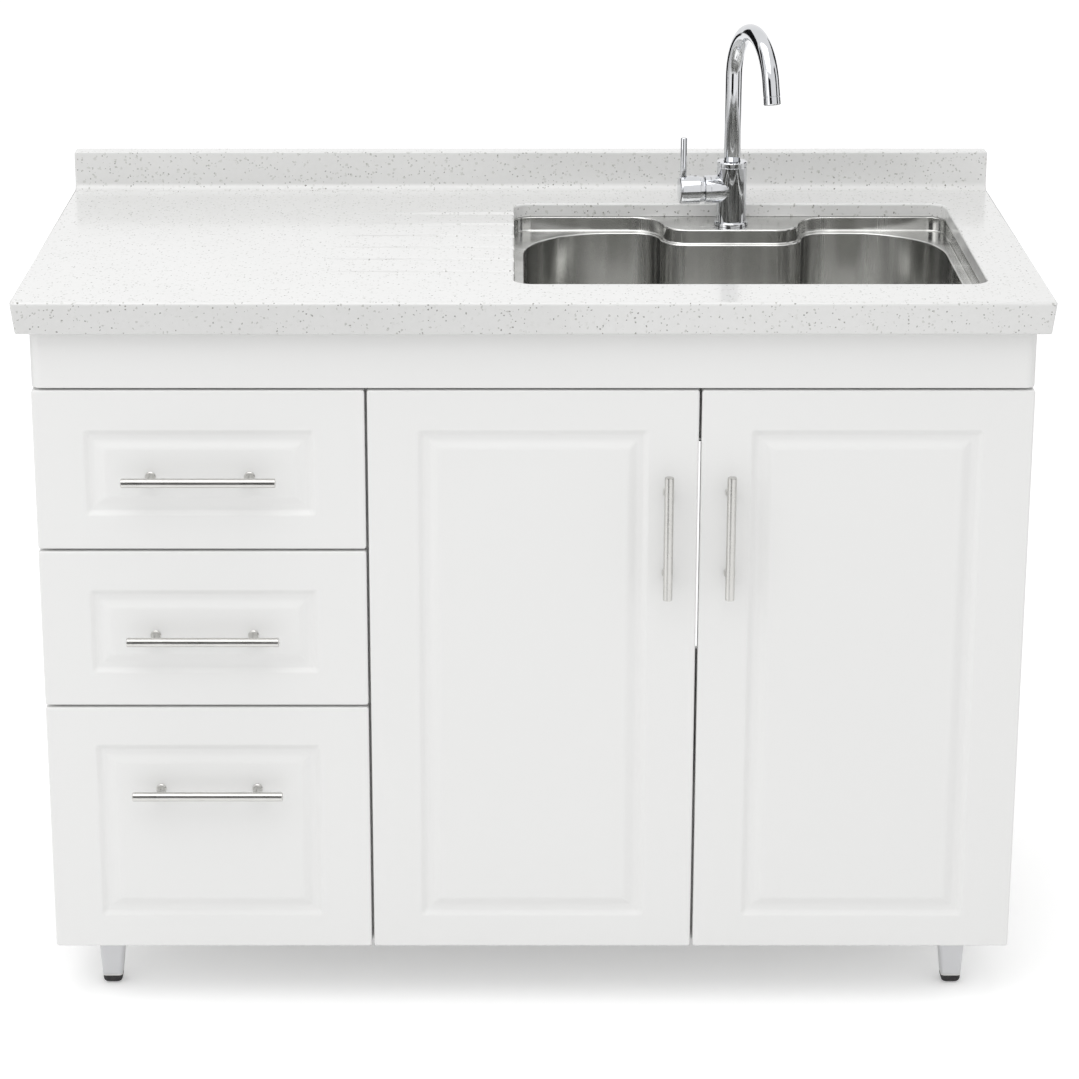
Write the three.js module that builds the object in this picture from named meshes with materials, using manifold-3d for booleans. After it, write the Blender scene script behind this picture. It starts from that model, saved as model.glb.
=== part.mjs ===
// Fitted kitchen sink unit: a cast-stone worktop with drain grooves over a steel basin, a side-lever tap,
// three drawers and two cupboard doors on a board carcass with four short legs.
// Millimetres. X runs along the front, Y from the front to the wall, Z up from the floor.

import * as THREE from 'three';
import { mergeVertices } from 'three/addons/utils/BufferGeometryUtils.js';
import Module from 'manifold-3d';

const wasm = await Module();
wasm.setup();

// ---------------------------------------------------------------- driving dimensions

// Gap kept between two pieces that rest on each other.
const seatGap = 0.3;

// Worktop: a slab with a deeper rim round its underside and an upstand along the wall.
const worktopWidth = 1200;
const worktopDepth = 600;
const worktopHeight = 900;
const slabThickness = 17;
const rimHeight = 38;
const frontRimWidth = 39;
const sideRimWidth = 40;
const backRimWidth = 40;
const rimLean = 5;
const worktopEdgeRadius = 4;
const upstandHeight = 50;
const upstandThickness = 24;
const coveRadius = 10;

// Basin opening in the worktop, measured from the worktop's front edge. On the right the basin's flange
// stands clear of the worktop's side rim.
const openingWidth = 556;
const openingDepth = 408;
const openingFront = 86;
const openingCornerRadius = 22;
const flangeRimClearance = 6;

// Drain grooves, which run downhill into the basin.
const grooveCount = 6;
const grooveSpacing = 59.5;
const grooveLength = 246;
const grooveDepth = 3.5;
const grooveRadius = 9;

// Steel basin: a flange under the slab, a drop wall, a ledge and a deep bowl.
const sheetThickness = 1.4;
const flangeWidth = 15;
const dropWallHeight = 19;
const ledgeWidth = 12;
const bowlDepth = 200;
const bowlFloorRadius = 25;
const bowlBackCornerRadius = 110;
const bowlFrontCornerRadius = 60;
// The tap's deck is a tongue that comes forward out of the basin's back wall between two S-curves.
const deckFrontWidth = 111;
const deckLength = 72;
const deckCornerRadius = 31;
const deckShoulderRadius = 44;
const deckFootWidth = 5;
const bowlShoulderRadius = 32;
const drainHoleRadius = 45;

// Basket strainer and bottle trap.
const strainerFlangeRadius = 56;
const strainerFlangeThickness = 2;
const strainerWall = 1.5;
const strainerClearance = 2;
const strainerDepth = 42;
const strainerNeckRadius = 24;
const strainerNeckLength = 20;
const basketClearance = 1.5;
const basketWall = 1.5;
const basketDepth = 26;
const basketKnobRadius = 7;
const basketStemRadius = 3;
const trapPipeRadius = 19;
const trapPipeWall = 3;
const trapInletLength = 95;
const trapNutRadius = 27;
const trapNutHeight = 16;
const trapBottleRadius = 35;
const trapBottleHeight = 110;
const trapOutletDrop = 28;
const trapOutletBore = 40;
const trapOutletSetback = 5;

// Carcass of boards, which stands in from the worktop's ends and back.
const boardThickness = 15;
const backBoardThickness = 9;
const carcassSideInset = 17;
const carcassBackSetback = 10;
const legHeight = 78;
const frontSetback = 20;
const frontThickness = 18;
const frontToCarcassGap = 2;
const frontGap = 3;
const fasciaHeight = 70;
const fasciaCornerRadius = 12;
const serviceHoleWidth = 300;
const serviceHoleBottom = 250;
const serviceHoleHeight = 300;

// Legs, which narrow downwards, and their dark foot caps.
const legTopWidth = 36;
const legFootWidth = 26;
const legOuterInset = 3.5;
const legSideInset = 43;
const legFrontInset = 30;
const legBackInset = 30;
const footCapHeight = 12;
const footCapInset = 1;
const footCapRounding = 4;

// Doors and drawer fronts: a groove sets off a raised field in the middle of each front.
const drawerFrontHeight = 195;
const fieldSideMargin = 57;
const fieldTopMargin = 47;
const fieldBottomMargin = 40;
const fieldGrooveDepth = 4.5;
const grooveOuterSlope = 9;
const grooveFloorWidth = 3;
const grooveInnerSlope = 15;

// Bar handles.
const handleRadius = 5.5;
const handleReach = 30;
const handlePostRadius = 4.5;
const drawerHandleLength = 180;
const drawerHandlePostSpacing = 116;
const drawerHandleDrop = 105;
const doorHandleLength = 152;
const doorHandlePostSpacing = 100;
const doorHandleDrop = 174;
const doorHandleEdgeDistance = 35;

// Drawer boxes with steel sides that run in channels on the carcass.
const drawerBoxDepth = 450;
const drawerSideHeights = [120, 120, 200];
const drawerBoxLift = 25;
const drawerSideWall = 3;
const drawerSideLedge = 12;
const drawerBottomThickness = 10;
const drawerBackThickness = 12;
const runnerLift = 34;
const runnerTongueThickness = 4;
const runnerChannelDepth = 11;
const runnerChannelWall = 2;
const runnerChannelLength = 460;
const runnerSideClearance = 1;

// Concealed door hinges: a cup in the door and an arm on the carcass.
const hingeEndDistance = 100;
const hingeCupRadius = 17.5;
const hingeCupDepth = 12;
const hingeCupWall = 1.5;
const hingeCupEdgeDistance = 6.5;
const hingeNoseNear = 22;
const hingeNoseFar = 33;
const hingeNoseHeight = 14;
const hingeArmHeight = 18;
const hingeArmLength = 58;
const hingeArmBridgeDepth = 12;
const hingePlateHeight = 50;
const hingePlateDepth = 40;
const hingePlateThickness = 4;
const hingePlateInset = 20;

// Tap: body, side cartridge with a lever, and a swivelling gooseneck spout.
const tapSetback = 41;
const tapFlangeRadius = 21.7;
const tapFlangeHeight = 5;
const tapBodyRadius = 19;
const tapBodyHeight = 82.5;
const tapShankRadius = 16.5;
const tapShankLength = 45;
const tapHoleClearance = 1;
const cartridgeHeight = 46;
const cartridgeRadius = 18;
const cartridgeShoulder = 35.5;
const cartridgeTurn = 6;
const stemBoreRadius = 10;
const stemBoreDepth = 15;
const leverJointGap = 6.5;
const leverDomeRadius = 16.4;
const leverCapLength = 26;
const leverCapBoreRadius = 17;
const leverCapBoreDepth = 17.3;
const leverPinRadius = 4.1;
const leverPinHeight = 50;
const leverPinSocket = 7;
const leverPinEndDistance = 5.5;
const spoutTubeRadius = 10.75;
const spoutBoreDepth = 30;
const spoutArchRadius = 67;
const spoutArchAngle = 165;
const spoutHeight = 269;
const spoutEndLength = 28;
const spoutTurn = 16;
const spoutOutletBoreRadius = 8.5;
const spoutOutletBoreDepth = 14;

// ---------------------------------------------------------------- finishes

const finishes = {
  caststone: { color: 0xe6e6e2, roughness: 0.35, metalness: 0.0 },
  frontFoil: { color: 0xebebea, roughness: 0.45, metalness: 0.0 },
  board: { color: 0xe4e4e2, roughness: 0.6, metalness: 0.0 },
  brushedSteel: { color: 0xb4b4b0, roughness: 0.3, metalness: 1.0 },
  chrome: { color: 0xdadce0, roughness: 0.06, metalness: 1.0 },
  runnerSteel: { color: 0xc9cbcc, roughness: 0.4, metalness: 0.6 },
  legPlastic: { color: 0xd6d7d9, roughness: 0.45, metalness: 0.0 },
  footRubber: { color: 0x242426, roughness: 0.7, metalness: 0.0 },
  pipePlastic: { color: 0xeeeeec, roughness: 0.4, metalness: 0.0 },
};

// ---------------------------------------------------------------- places worked out from the sizes

const handleOverhang = Math.max(handleReach - frontSetback, 0);
const worktopFrontY = (handleOverhang - worktopDepth) / 2;
const worktopBackY = worktopFrontY + worktopDepth;
const slabUnderside = worktopHeight - slabThickness;
const rimUnderside = worktopHeight - rimHeight;
const rimInnerX = worktopWidth / 2 - rimLean - sideRimWidth;
const openingBack = openingFront + openingDepth;
const basinCentreX = rimInnerX - flangeRimClearance - flangeWidth - openingWidth / 2;
const carcassWidth = worktopWidth - 2 * carcassSideInset;
const carcassTop = rimUnderside - seatGap;
const frontFaceY = worktopFrontY + frontSetback;
const frontBackY = frontFaceY + frontThickness;
const carcassFrontY = frontBackY + frontToCarcassGap;
const carcassBackY = worktopBackY - carcassBackSetback;
const backBoardFrontY = carcassBackY - backBoardThickness;
const carcassInnerX = carcassWidth / 2 - boardThickness;
const columnWidth = (carcassWidth - 2 * frontGap) / 3;
const partitionX = -carcassWidth / 2 + columnWidth + frontGap / 2;
const fasciaBottom = rimUnderside - fasciaHeight;
const frontsTop = fasciaBottom - frontGap;
const frontsBottom = legHeight;

// ---------------------------------------------------------------- shape helpers

const X = new THREE.Vector3(1, 0, 0);
const Y = new THREE.Vector3(0, 1, 0);
const Z = new THREE.Vector3(0, 0, 1);

// A closed geometry as a solid that can be joined and cut.
function solid(geometry) {
  const bare = geometry.clone();
  bare.deleteAttribute('normal');
  bare.deleteAttribute('uv');
  const merged = mergeVertices(bare, 1e-4);
  const mesh = new wasm.Mesh({
    numProp: 3,
    vertProperties: Float32Array.from(merged.attributes.position.array),
    triVerts: Uint32Array.from(merged.index.array),
  });
  return new wasm.Manifold(mesh);
}

// A solid as a geometry again.
function geometryOf(body) {
  const mesh = body.getMesh();
  const geometry = new THREE.BufferGeometry();
  geometry.setAttribute('position', new THREE.Float32BufferAttribute(mesh.vertProperties, 3));
  geometry.setIndex(new THREE.Uint32BufferAttribute(mesh.triVerts, 1));
  return geometry;
}

function joined(first, ...others) {
  return others.reduce((body, other) => body.add(other), first);
}

function cut(first, ...others) {
  return others.reduce((body, other) => body.subtract(other), first);
}

// A box from its limits along each axis.
function block([x0, x1], [y0, y1], [z0, z1]) {
  const geometry = new THREE.BoxGeometry(x1 - x0, y1 - y0, z1 - z0);
  return geometry.translate((x0 + x1) / 2, (y0 + y1) / 2, (z0 + z1) / 2);
}

// A box whose rectangle changes with height: levels hold z, x limits and y limits, from the bottom up.
function levelledBox(levels) {
  const steps = levels.length - 1;
  const geometry = new THREE.BoxGeometry(1, 1, 1, 1, 1, steps);
  const position = geometry.attributes.position;
  for (let i = 0; i < position.count; i += 1) {
    const level = levels[Math.round((position.getZ(i) + 0.5) * steps)];
    const x = THREE.MathUtils.lerp(...level.x, position.getX(i) + 0.5);
    const y = THREE.MathUtils.lerp(...level.y, position.getY(i) + 0.5);
    position.setXYZ(i, x, y, level.z);
  }
  return geometry;
}

// A plan outline pulled up from z0 to z1.
function raised(shape, z0, z1) {
  const options = { depth: z1 - z0, bevelEnabled: false };
  return new THREE.ExtrudeGeometry(shape, options).translate(0, 0, z0);
}

// A section drawn across (first coordinate) and up (second), pulled along +Y from y0 to y1.
function pulledAlongY(shape, y0, y1) {
  const options = { depth: y1 - y0, bevelEnabled: false };
  const geometry = new THREE.ExtrudeGeometry(shape, options);
  return geometry.applyMatrix4(new THREE.Matrix4().makeBasis(X, Z, Y.clone().negate())).translate(0, y1, 0);
}

// A section drawn from front to back (first coordinate) and up (second), pulled along +X from x0 to x1.
function pulledAlongX(shape, x0, x1) {
  const options = { depth: x1 - x0, bevelEnabled: false };
  const geometry = new THREE.ExtrudeGeometry(shape, options);
  return geometry.applyMatrix4(new THREE.Matrix4().makeBasis(Y, Z, X)).translate(x0, 0, 0);
}

function polygon(points) {
  return new THREE.Shape(points.map(([x, y]) => new THREE.Vector2(x, y)));
}

function arcPoints(centreX, centreY, radius, startDegrees, endDegrees, steps) {
  const points = [];
  for (let i = 0; i <= steps; i += 1) {
    const angle = THREE.MathUtils.degToRad(startDegrees + ((endDegrees - startDegrees) * i) / steps);
    points.push([centreX + radius * Math.cos(angle), centreY + radius * Math.sin(angle)]);
  }
  return points;
}

// A closed outline through a run of arcs, each given by its centre, radius and start and end angles.
// Where one arc ends at the start of the next, the shared point is kept once. A point on a straight run,
// such as the one where an S-curve turns over, is left out.
function arcOutline(arcs, degreesPerStep = 15) {
  const points = arcs.flatMap(([centreX, centreY, radius, start, end]) => {
    const steps = Math.max(1, Math.round(Math.abs(end - start) / degreesPerStep));
    return arcPoints(centreX, centreY, radius, start, end, steps);
  });
  const nearby = 0.01;
  const spaced = points.filter(([x, y], i) => {
    const [nextX, nextY] = points[(i + 1) % points.length];
    return Math.hypot(nextX - x, nextY - y) > nearby;
  });
  const straightWithin = 1e-6;
  return polygon(
    spaced.filter(([x, y], i) => {
      const [lastX, lastY] = spaced.at(i - 1);
      const [nextX, nextY] = spaced[(i + 1) % spaced.length];
      return Math.abs((x - lastX) * (nextY - y) - (y - lastY) * (nextX - x)) > straightWithin;
    }),
  );
}

function roundedRectangle(left, right, front, back, radius) {
  return arcOutline([
    [left + radius, front + radius, radius, 180, 270],
    [right - radius, front + radius, radius, 270, 360],
    [right - radius, back - radius, radius, 0, 90],
    [left + radius, back - radius, radius, 90, 180],
  ]);
}

// A round bar or pipe along +Z from z0 to z1.
function rod(radius, z0, z1, sides = 16) {
  const geometry = new THREE.CylinderGeometry(radius, radius, z1 - z0, sides);
  return geometry.rotateX(Math.PI / 2).translate(0, 0, (z0 + z1) / 2);
}

// A turned piece about +Z: points hold radius and height and go round the section once.
function turned(points, sides = 24) {
  const profile = points.map(([radius, height]) => new THREE.Vector2(radius, height));
  return new THREE.LatheGeometry(profile, sides).rotateX(Math.PI / 2);
}

function piece(name, geometry, finish) {
  const mesh = new THREE.Mesh(geometry, new THREE.MeshStandardMaterial({ ...finish, name }));
  mesh.name = name;
  return mesh;
}

function placed(object, x, y, z) {
  object.position.set(x, y, z);
  return object;
}

// ---------------------------------------------------------------- worktop

function worktopSideSection() {
  const front = worktopFrontY;
  const back = worktopBackY;
  const top = worktopHeight;
  const upstandFront = back - upstandThickness;
  return polygon([
    [front, rimUnderside],
    [back, rimUnderside],
    [back, top + upstandHeight],
    [upstandFront, top + upstandHeight],
    ...arcPoints(upstandFront - coveRadius, top + coveRadius, coveRadius, 0, -90, 5),
    ...arcPoints(front + worktopEdgeRadius, top - worktopEdgeRadius, worktopEdgeRadius, 90, 180, 3),
  ]);
}

function worktopFrontSection() {
  const half = worktopWidth / 2;
  const top = worktopHeight + upstandHeight;
  return polygon([
    [-half + rimLean, rimUnderside],
    [half - rimLean, rimUnderside],
    [half, worktopHeight],
    [half, top],
    [-half, top],
    [-half, worktopHeight],
  ]);
}

function drainGroove(index) {
  const fall = Math.atan(grooveDepth / grooveLength);
  const basinEdgeX = basinCentreX - openingWidth / 2;
  const overrun = grooveDepth;
  const y = worktopFrontY + (openingFront + openingBack) / 2 + (index - (grooveCount - 1) / 2) * grooveSpacing;
  const cutter = rod(grooveRadius, -overrun, grooveLength + overrun, 20);
  cutter.rotateY(fall - Math.PI / 2);
  return cutter.translate(basinEdgeX, y, worktopHeight - grooveDepth + grooveRadius);
}

function worktopGeometry() {
  const outer = solid(pulledAlongX(worktopSideSection(), -worktopWidth / 2, worktopWidth / 2)).intersect(
    solid(pulledAlongY(worktopFrontSection(), worktopFrontY, worktopBackY)),
  );
  const hollow = block(
    [-rimInnerX, rimInnerX],
    [worktopFrontY + frontRimWidth, worktopBackY - backRimWidth],
    [rimUnderside - 1, slabUnderside],
  );
  const opening = raised(
    roundedRectangle(
      basinCentreX - openingWidth / 2,
      basinCentreX + openingWidth / 2,
      worktopFrontY + openingFront,
      worktopFrontY + openingBack,
      openingCornerRadius,
    ),
    slabUnderside - 1,
    worktopHeight + 1,
  );
  const grooves = Array.from({ length: grooveCount }, (_, index) => solid(drainGroove(index)));
  return geometryOf(cut(outer, solid(hollow), solid(opening), ...grooves));
}

// ---------------------------------------------------------------- basin

// A plan outline of the basin with the deck's tongue in its back edge, grown outwards by an offset.
// Limits and radii are those of the outline before it is grown.
function basinOutline(limits, grow) {
  const { left, right, front, back, frontRadius, backRadius } = limits;
  const { tongueFront, tongueRadius, shoulderRadius } = limits;
  const reach = tongueRadius + shoulderRadius;
  const turnCosine = 1 - (back - tongueFront) / reach;
  const turn = THREE.MathUtils.radToDeg(Math.acos(turnCosine));
  const middle = (left + right) / 2;
  const tongueX = deckFrontWidth / 2;
  const tongueY = tongueFront + tongueRadius;
  const shoulderX = tongueX + reach * Math.sqrt(1 - turnCosine ** 2);
  const shoulderY = back - shoulderRadius;
  const tongueArc = tongueRadius - grow;
  const shoulderArc = shoulderRadius + grow;
  return arcOutline([
    [left + frontRadius, front + frontRadius, frontRadius + grow, 180, 270],
    [right - frontRadius, front + frontRadius, frontRadius + grow, 270, 360],
    [right - backRadius, back - backRadius, backRadius + grow, 0, 90],
    [middle + shoulderX, shoulderY, shoulderArc, 90, 90 + turn],
    [middle + tongueX, tongueY, tongueArc, turn - 90, -90],
    [middle - tongueX, tongueY, tongueArc, -90, -90 - turn],
    [middle - shoulderX, shoulderY, shoulderArc, 90 - turn, 90],
    [left + backRadius, back - backRadius, backRadius + grow, 90, 180],
  ]);
}

const dropLimits = {
  left: basinCentreX - openingWidth / 2,
  right: basinCentreX + openingWidth / 2,
  front: worktopFrontY + openingFront,
  back: worktopFrontY + openingBack,
  frontRadius: openingCornerRadius,
  backRadius: openingCornerRadius,
  tongueFront: worktopFrontY + openingBack - deckLength,
  tongueRadius: deckCornerRadius,
  shoulderRadius: deckShoulderRadius,
};

const bowlLimits = {
  left: dropLimits.left + ledgeWidth,
  right: dropLimits.right - ledgeWidth,
  front: dropLimits.front + ledgeWidth,
  back: dropLimits.back - ledgeWidth,
  frontRadius: bowlFrontCornerRadius,
  backRadius: bowlBackCornerRadius,
  tongueFront: dropLimits.tongueFront - deckFootWidth,
  tongueRadius: deckCornerRadius + deckFootWidth,
  shoulderRadius: bowlShoulderRadius,
};

const flangeTop = slabUnderside - seatGap;
const ledgeTop = slabUnderside - dropWallHeight;
const bowlFloor = worktopHeight - bowlDepth;
const basinCentreY = (dropLimits.front + dropLimits.back) / 2;
const tapX = basinCentreX;
const tapY = dropLimits.back - tapSetback;

// The bowl between its floor and a height, with its floor edge rounded.
function bowlSolid(grow, floor, top) {
  const options = {
    depth: top - floor,
    bevelThickness: bowlFloorRadius,
    bevelSize: bowlFloorRadius,
    bevelOffset: -bowlFloorRadius,
    bevelSegments: 3,
  };
  const geometry = new THREE.ExtrudeGeometry(basinOutline(bowlLimits, grow), options);
  const lid = block(
    [bowlLimits.left - ledgeWidth, bowlLimits.right + ledgeWidth],
    [bowlLimits.front - ledgeWidth, bowlLimits.back + ledgeWidth],
    [top, top + 3 * bowlFloorRadius],
  );
  return solid(geometry.translate(0, 0, floor + bowlFloorRadius)).subtract(solid(lid));
}

function basinGeometry() {
  const flange = raised(
    roundedRectangle(
      dropLimits.left - flangeWidth,
      dropLimits.right + flangeWidth,
      dropLimits.front - flangeWidth,
      dropLimits.back + flangeWidth,
      openingCornerRadius + flangeWidth,
    ),
    flangeTop - sheetThickness,
    flangeTop,
  );
  const trayOuter = raised(basinOutline(dropLimits, sheetThickness), ledgeTop - sheetThickness, flangeTop);
  const trayInner = raised(basinOutline(dropLimits, 0), ledgeTop, flangeTop + 1);
  const bowlOuter = bowlSolid(sheetThickness, bowlFloor - sheetThickness, ledgeTop);
  const bowlInner = bowlSolid(0, bowlFloor, ledgeTop + 1);
  const drainHole = rod(drainHoleRadius, bowlFloor - 10, bowlFloor + 10, 24);
  const tapHole = rod(tapShankRadius + tapHoleClearance, flangeTop - 10, flangeTop + 10, 24);
  const outer = joined(solid(flange), solid(trayOuter), bowlOuter);
  return geometryOf(
    cut(
      outer,
      solid(trayInner),
      bowlInner,
      solid(drainHole.translate(basinCentreX, basinCentreY, 0)),
      solid(tapHole.translate(tapX, tapY, 0)),
    ),
  );
}

// ---------------------------------------------------------------- strainer and trap, about the drain's axis

const strainerRadius = drainHoleRadius - strainerClearance;
const strainerFlangeTop = seatGap + strainerFlangeThickness;
const strainerInner = strainerRadius - strainerWall;
const neckBottom = -strainerDepth - strainerNeckLength;
const neckInner = strainerNeckRadius - trapPipeWall;

function strainerGeometry() {
  return turned([
    [strainerFlangeRadius, seatGap],
    [strainerFlangeRadius, strainerFlangeTop],
    [strainerInner, strainerFlangeTop],
    [strainerInner, -strainerDepth + strainerWall],
    [neckInner, -strainerDepth + strainerWall],
    [neckInner, neckBottom],
    [strainerNeckRadius, neckBottom],
    [strainerNeckRadius, -strainerDepth],
    [strainerRadius, -strainerDepth],
    [strainerRadius, seatGap],
    [strainerFlangeRadius, seatGap],
  ]);
}

// The basket stands on the strainer's floor and its knob ends level with the strainer's flange.
function basketGeometry() {
  const outer = strainerInner - basketClearance;
  const bottom = -strainerDepth + strainerWall + seatGap;
  const rim = bottom + basketDepth;
  const knobTop = strainerFlangeTop;
  const knobBottom = knobTop - basketKnobRadius;
  return turned([
    [0, bottom],
    [outer - basketWall, bottom],
    [outer, bottom + basketWall],
    [outer, rim],
    [outer - basketWall, rim],
    [outer - basketWall, bottom + basketWall],
    [basketStemRadius, bottom + basketWall],
    [basketStemRadius, knobBottom],
    [basketKnobRadius, knobBottom],
    [basketKnobRadius, knobTop],
    [0, knobTop],
  ]);
}

function trapGeometry() {
  const inletTop = neckBottom - seatGap;
  const bottleTop = inletTop - trapInletLength;
  const bottleBottom = bottleTop - trapBottleHeight;
  const bottle = turned([
    [0, bottleBottom],
    [trapBottleRadius, bottleBottom],
    [trapBottleRadius, bottleTop],
    [trapPipeRadius, bottleTop],
    [trapPipeRadius, inletTop - trapNutHeight],
    [trapNutRadius, inletTop - trapNutHeight],
    [trapNutRadius, inletTop],
    [trapPipeRadius - trapPipeWall, inletTop],
    [trapPipeRadius - trapPipeWall, bottleTop - trapOutletDrop],
    [0, bottleTop - trapOutletDrop],
  ]);
  const outletLength = worktopBackY - trapOutletSetback - basinCentreY;
  const outletHeight = bottleTop - trapOutletDrop - trapPipeRadius;
  const outlet = rod(trapPipeRadius, 0, outletLength).rotateX(-Math.PI / 2);
  const bore = rod(trapPipeRadius - trapPipeWall, outletLength - trapOutletBore, outletLength + 1);
  return geometryOf(
    joined(solid(bottle), solid(outlet.translate(0, 0, outletHeight))).subtract(
      solid(bore.rotateX(-Math.PI / 2).translate(0, 0, outletHeight)),
    ),
  );
}

// ---------------------------------------------------------------- carcass

function serviceHole() {
  return solid(
    block(
      [basinCentreX - serviceHoleWidth / 2, basinCentreX + serviceHoleWidth / 2],
      [backBoardFrontY - 1, carcassBackY + 1],
      [serviceHoleBottom, serviceHoleBottom + serviceHoleHeight],
    ),
  );
}

function carcass() {
  const group = new THREE.Group();
  const depth = [carcassFrontY, carcassBackY];
  const innerDepth = [carcassFrontY, backBoardFrontY - seatGap];
  const between = [-carcassInnerX + seatGap, carcassInnerX - seatGap];
  const floorTop = legHeight + boardThickness;
  const outerX = carcassWidth / 2;
  const partition = [partitionX - boardThickness / 2, partitionX + boardThickness / 2];
  const fascia = roundedRectangle(
    -outerX,
    outerX,
    frontFaceY,
    carcassFrontY - seatGap + fasciaCornerRadius,
    fasciaCornerRadius,
  );
  const fasciaTrim = block([-outerX, outerX], [carcassFrontY - seatGap, carcassFrontY + 50], [0, worktopHeight]);
  const fasciaBody = solid(raised(fascia, fasciaBottom, carcassTop)).subtract(solid(fasciaTrim));
  const backBoard = block(between, [backBoardFrontY, carcassBackY], [legHeight, carcassTop]);
  group.add(
    piece('left_side_panel', block([-outerX, -carcassInnerX], depth, [legHeight, carcassTop]), finishes.board),
    piece('right_side_panel', block([carcassInnerX, outerX], depth, [legHeight, carcassTop]), finishes.board),
    piece('bottom_panel', block(between, innerDepth, [legHeight, floorTop]), finishes.board),
    piece('partition_panel', block(partition, innerDepth, [floorTop + seatGap, carcassTop]), finishes.board),
    piece('back_panel', geometryOf(solid(backBoard).subtract(serviceHole())), finishes.board),
    piece('front_fascia', geometryOf(fasciaBody), finishes.frontFoil),
  );
  return group;
}

// ---------------------------------------------------------------- legs

// Limits along an axis of a leg that stands near the carcass edge on the given side (-1 or 1).
function legSpan(side, outerEdge, width, inset) {
  const near = outerEdge - inset;
  const far = near - width;
  return side < 0 ? [-near, -far] : [far, near];
}

function leg(name, sideX, sideY) {
  const outerX = carcassWidth / 2 - legSideInset;
  const middleY = (carcassFrontY + carcassBackY) / 2;
  const outerY = (carcassBackY - carcassFrontY) / 2 - (sideY < 0 ? legFrontInset : legBackInset);
  const level = (z, width, inset) => ({
    z,
    x: legSpan(sideX, outerX, width, inset),
    y: legSpan(sideY, outerY, width, inset).map((y) => y + middleY),
  });
  const top = legHeight - seatGap;
  const capTopWidth = legFootWidth - 2 * footCapInset;
  const capTopInset = legOuterInset + footCapInset;
  const capFootWidth = capTopWidth - 2 * footCapRounding;
  const capFootInset = capTopInset + footCapRounding;
  const legBody = levelledBox([
    level(footCapHeight + seatGap, legFootWidth, legOuterInset),
    level(top, legTopWidth, 0),
  ]);
  const capBody = levelledBox([
    level(0, capFootWidth, capFootInset),
    level(footCapRounding, capTopWidth, capTopInset),
    level(footCapHeight, capTopWidth, capTopInset),
  ]);
  const group = new THREE.Group();
  group.add(
    piece(`${name}_leg`, legBody, finishes.legPlastic),
    piece(`${name}_foot_cap`, capBody, finishes.footRubber),
  );
  return group;
}

// ---------------------------------------------------------------- fronts and handles

// A front with its face at y = 0, its middle at x = 0 and its bottom edge at z = 0.
function frontSolid(width, height) {
  const half = width / 2;
  const outerX = half - fieldSideMargin;
  const outerBottom = fieldBottomMargin;
  const outerTop = height - fieldTopMargin;
  const rectangle = (y, inset) => ({
    z: -y,
    x: [-outerX + inset, outerX - inset],
    y: [outerBottom + inset, outerTop - inset],
  });
  const floorInset = grooveOuterSlope + grooveFloorWidth;
  const overcut = 1;
  const outerSlopePerDepth = grooveOuterSlope / fieldGrooveDepth;
  const innerSlopePerDepth = grooveInnerSlope / fieldGrooveDepth;
  const recess = levelledBox([
    rectangle(fieldGrooveDepth, grooveOuterSlope),
    rectangle(-overcut, -overcut * outerSlopePerDepth),
  ]);
  const field = levelledBox([
    rectangle(fieldGrooveDepth + overcut, floorInset - overcut * innerSlopePerDepth),
    rectangle(0, floorInset + grooveInnerSlope),
  ]);
  const facing = new THREE.Matrix4().makeBasis(X, Z, Y.clone().negate());
  const board = solid(block([-half, half], [0, frontThickness], [0, height]));
  const raisedField = solid(field.applyMatrix4(facing));
  const groove = solid(recess.applyMatrix4(facing)).subtract(raisedField);
  return board.subtract(groove);
}

// A bar handle along X on two posts, with its seat at y = 0.
function handleGeometry(length, postSpacing) {
  const barY = -(handleReach - handleRadius);
  const bar = rod(handleRadius, -length / 2, length / 2, 14).rotateY(Math.PI / 2).translate(0, barY, 0);
  const posts = [-1, 1].map((side) => {
    const post = rod(handlePostRadius, seatGap, -barY, 12).rotateX(Math.PI / 2);
    return solid(post.translate((side * postSpacing) / 2, 0, 0));
  });
  return geometryOf(joined(solid(bar), ...posts));
}

// ---------------------------------------------------------------- drawers

const drawerFrontHeights = [
  drawerFrontHeight,
  drawerFrontHeight,
  frontsTop - frontsBottom - 2 * (drawerFrontHeight + frontGap),
];
const drawerBayLeft = -carcassInnerX;
const drawerBayRight = partitionX - boardThickness / 2;
const drawerColumnX = -carcassWidth / 2 + columnWidth / 2;
const drawerBayX = (drawerBayLeft + drawerBayRight) / 2;
const runnerWallHalf = (drawerBayRight - drawerBayLeft) / 2 - seatGap;
const runnerTongueHalf = runnerWallHalf - runnerChannelWall - runnerSideClearance;
const drawerOuterHalf = runnerWallHalf - runnerChannelDepth - runnerSideClearance;
const drawerInnerHalf = drawerOuterHalf - drawerSideWall;
const drawerBoxFront = frontThickness + seatGap;
const drawerBoxBack = drawerBoxFront + drawerBoxDepth;

// A steel side, seen from the front: an upright with a ledge for the bottom inside and a running tongue outside.
// The side is drawn for the right of the drawer, and the left one mirrors its section.
function drawerSideGeometry(side, height) {
  const wallOut = drawerOuterHalf;
  const wallIn = drawerInnerHalf;
  const tongueOut = runnerTongueHalf;
  const points = [
    [wallIn - drawerSideLedge, 0],
    [wallOut, 0],
    [wallOut, runnerLift],
    [tongueOut, runnerLift],
    [tongueOut, runnerLift + runnerTongueThickness],
    [wallOut, runnerLift + runnerTongueThickness],
    [wallOut, height],
    [wallIn, height],
    [wallIn, drawerSideWall],
    [wallIn - drawerSideLedge, drawerSideWall],
  ];
  const section = polygon(points.map(([x, z]) => [side * x, z]));
  return pulledAlongY(section, drawerBoxFront, drawerBoxBack);
}

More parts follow.
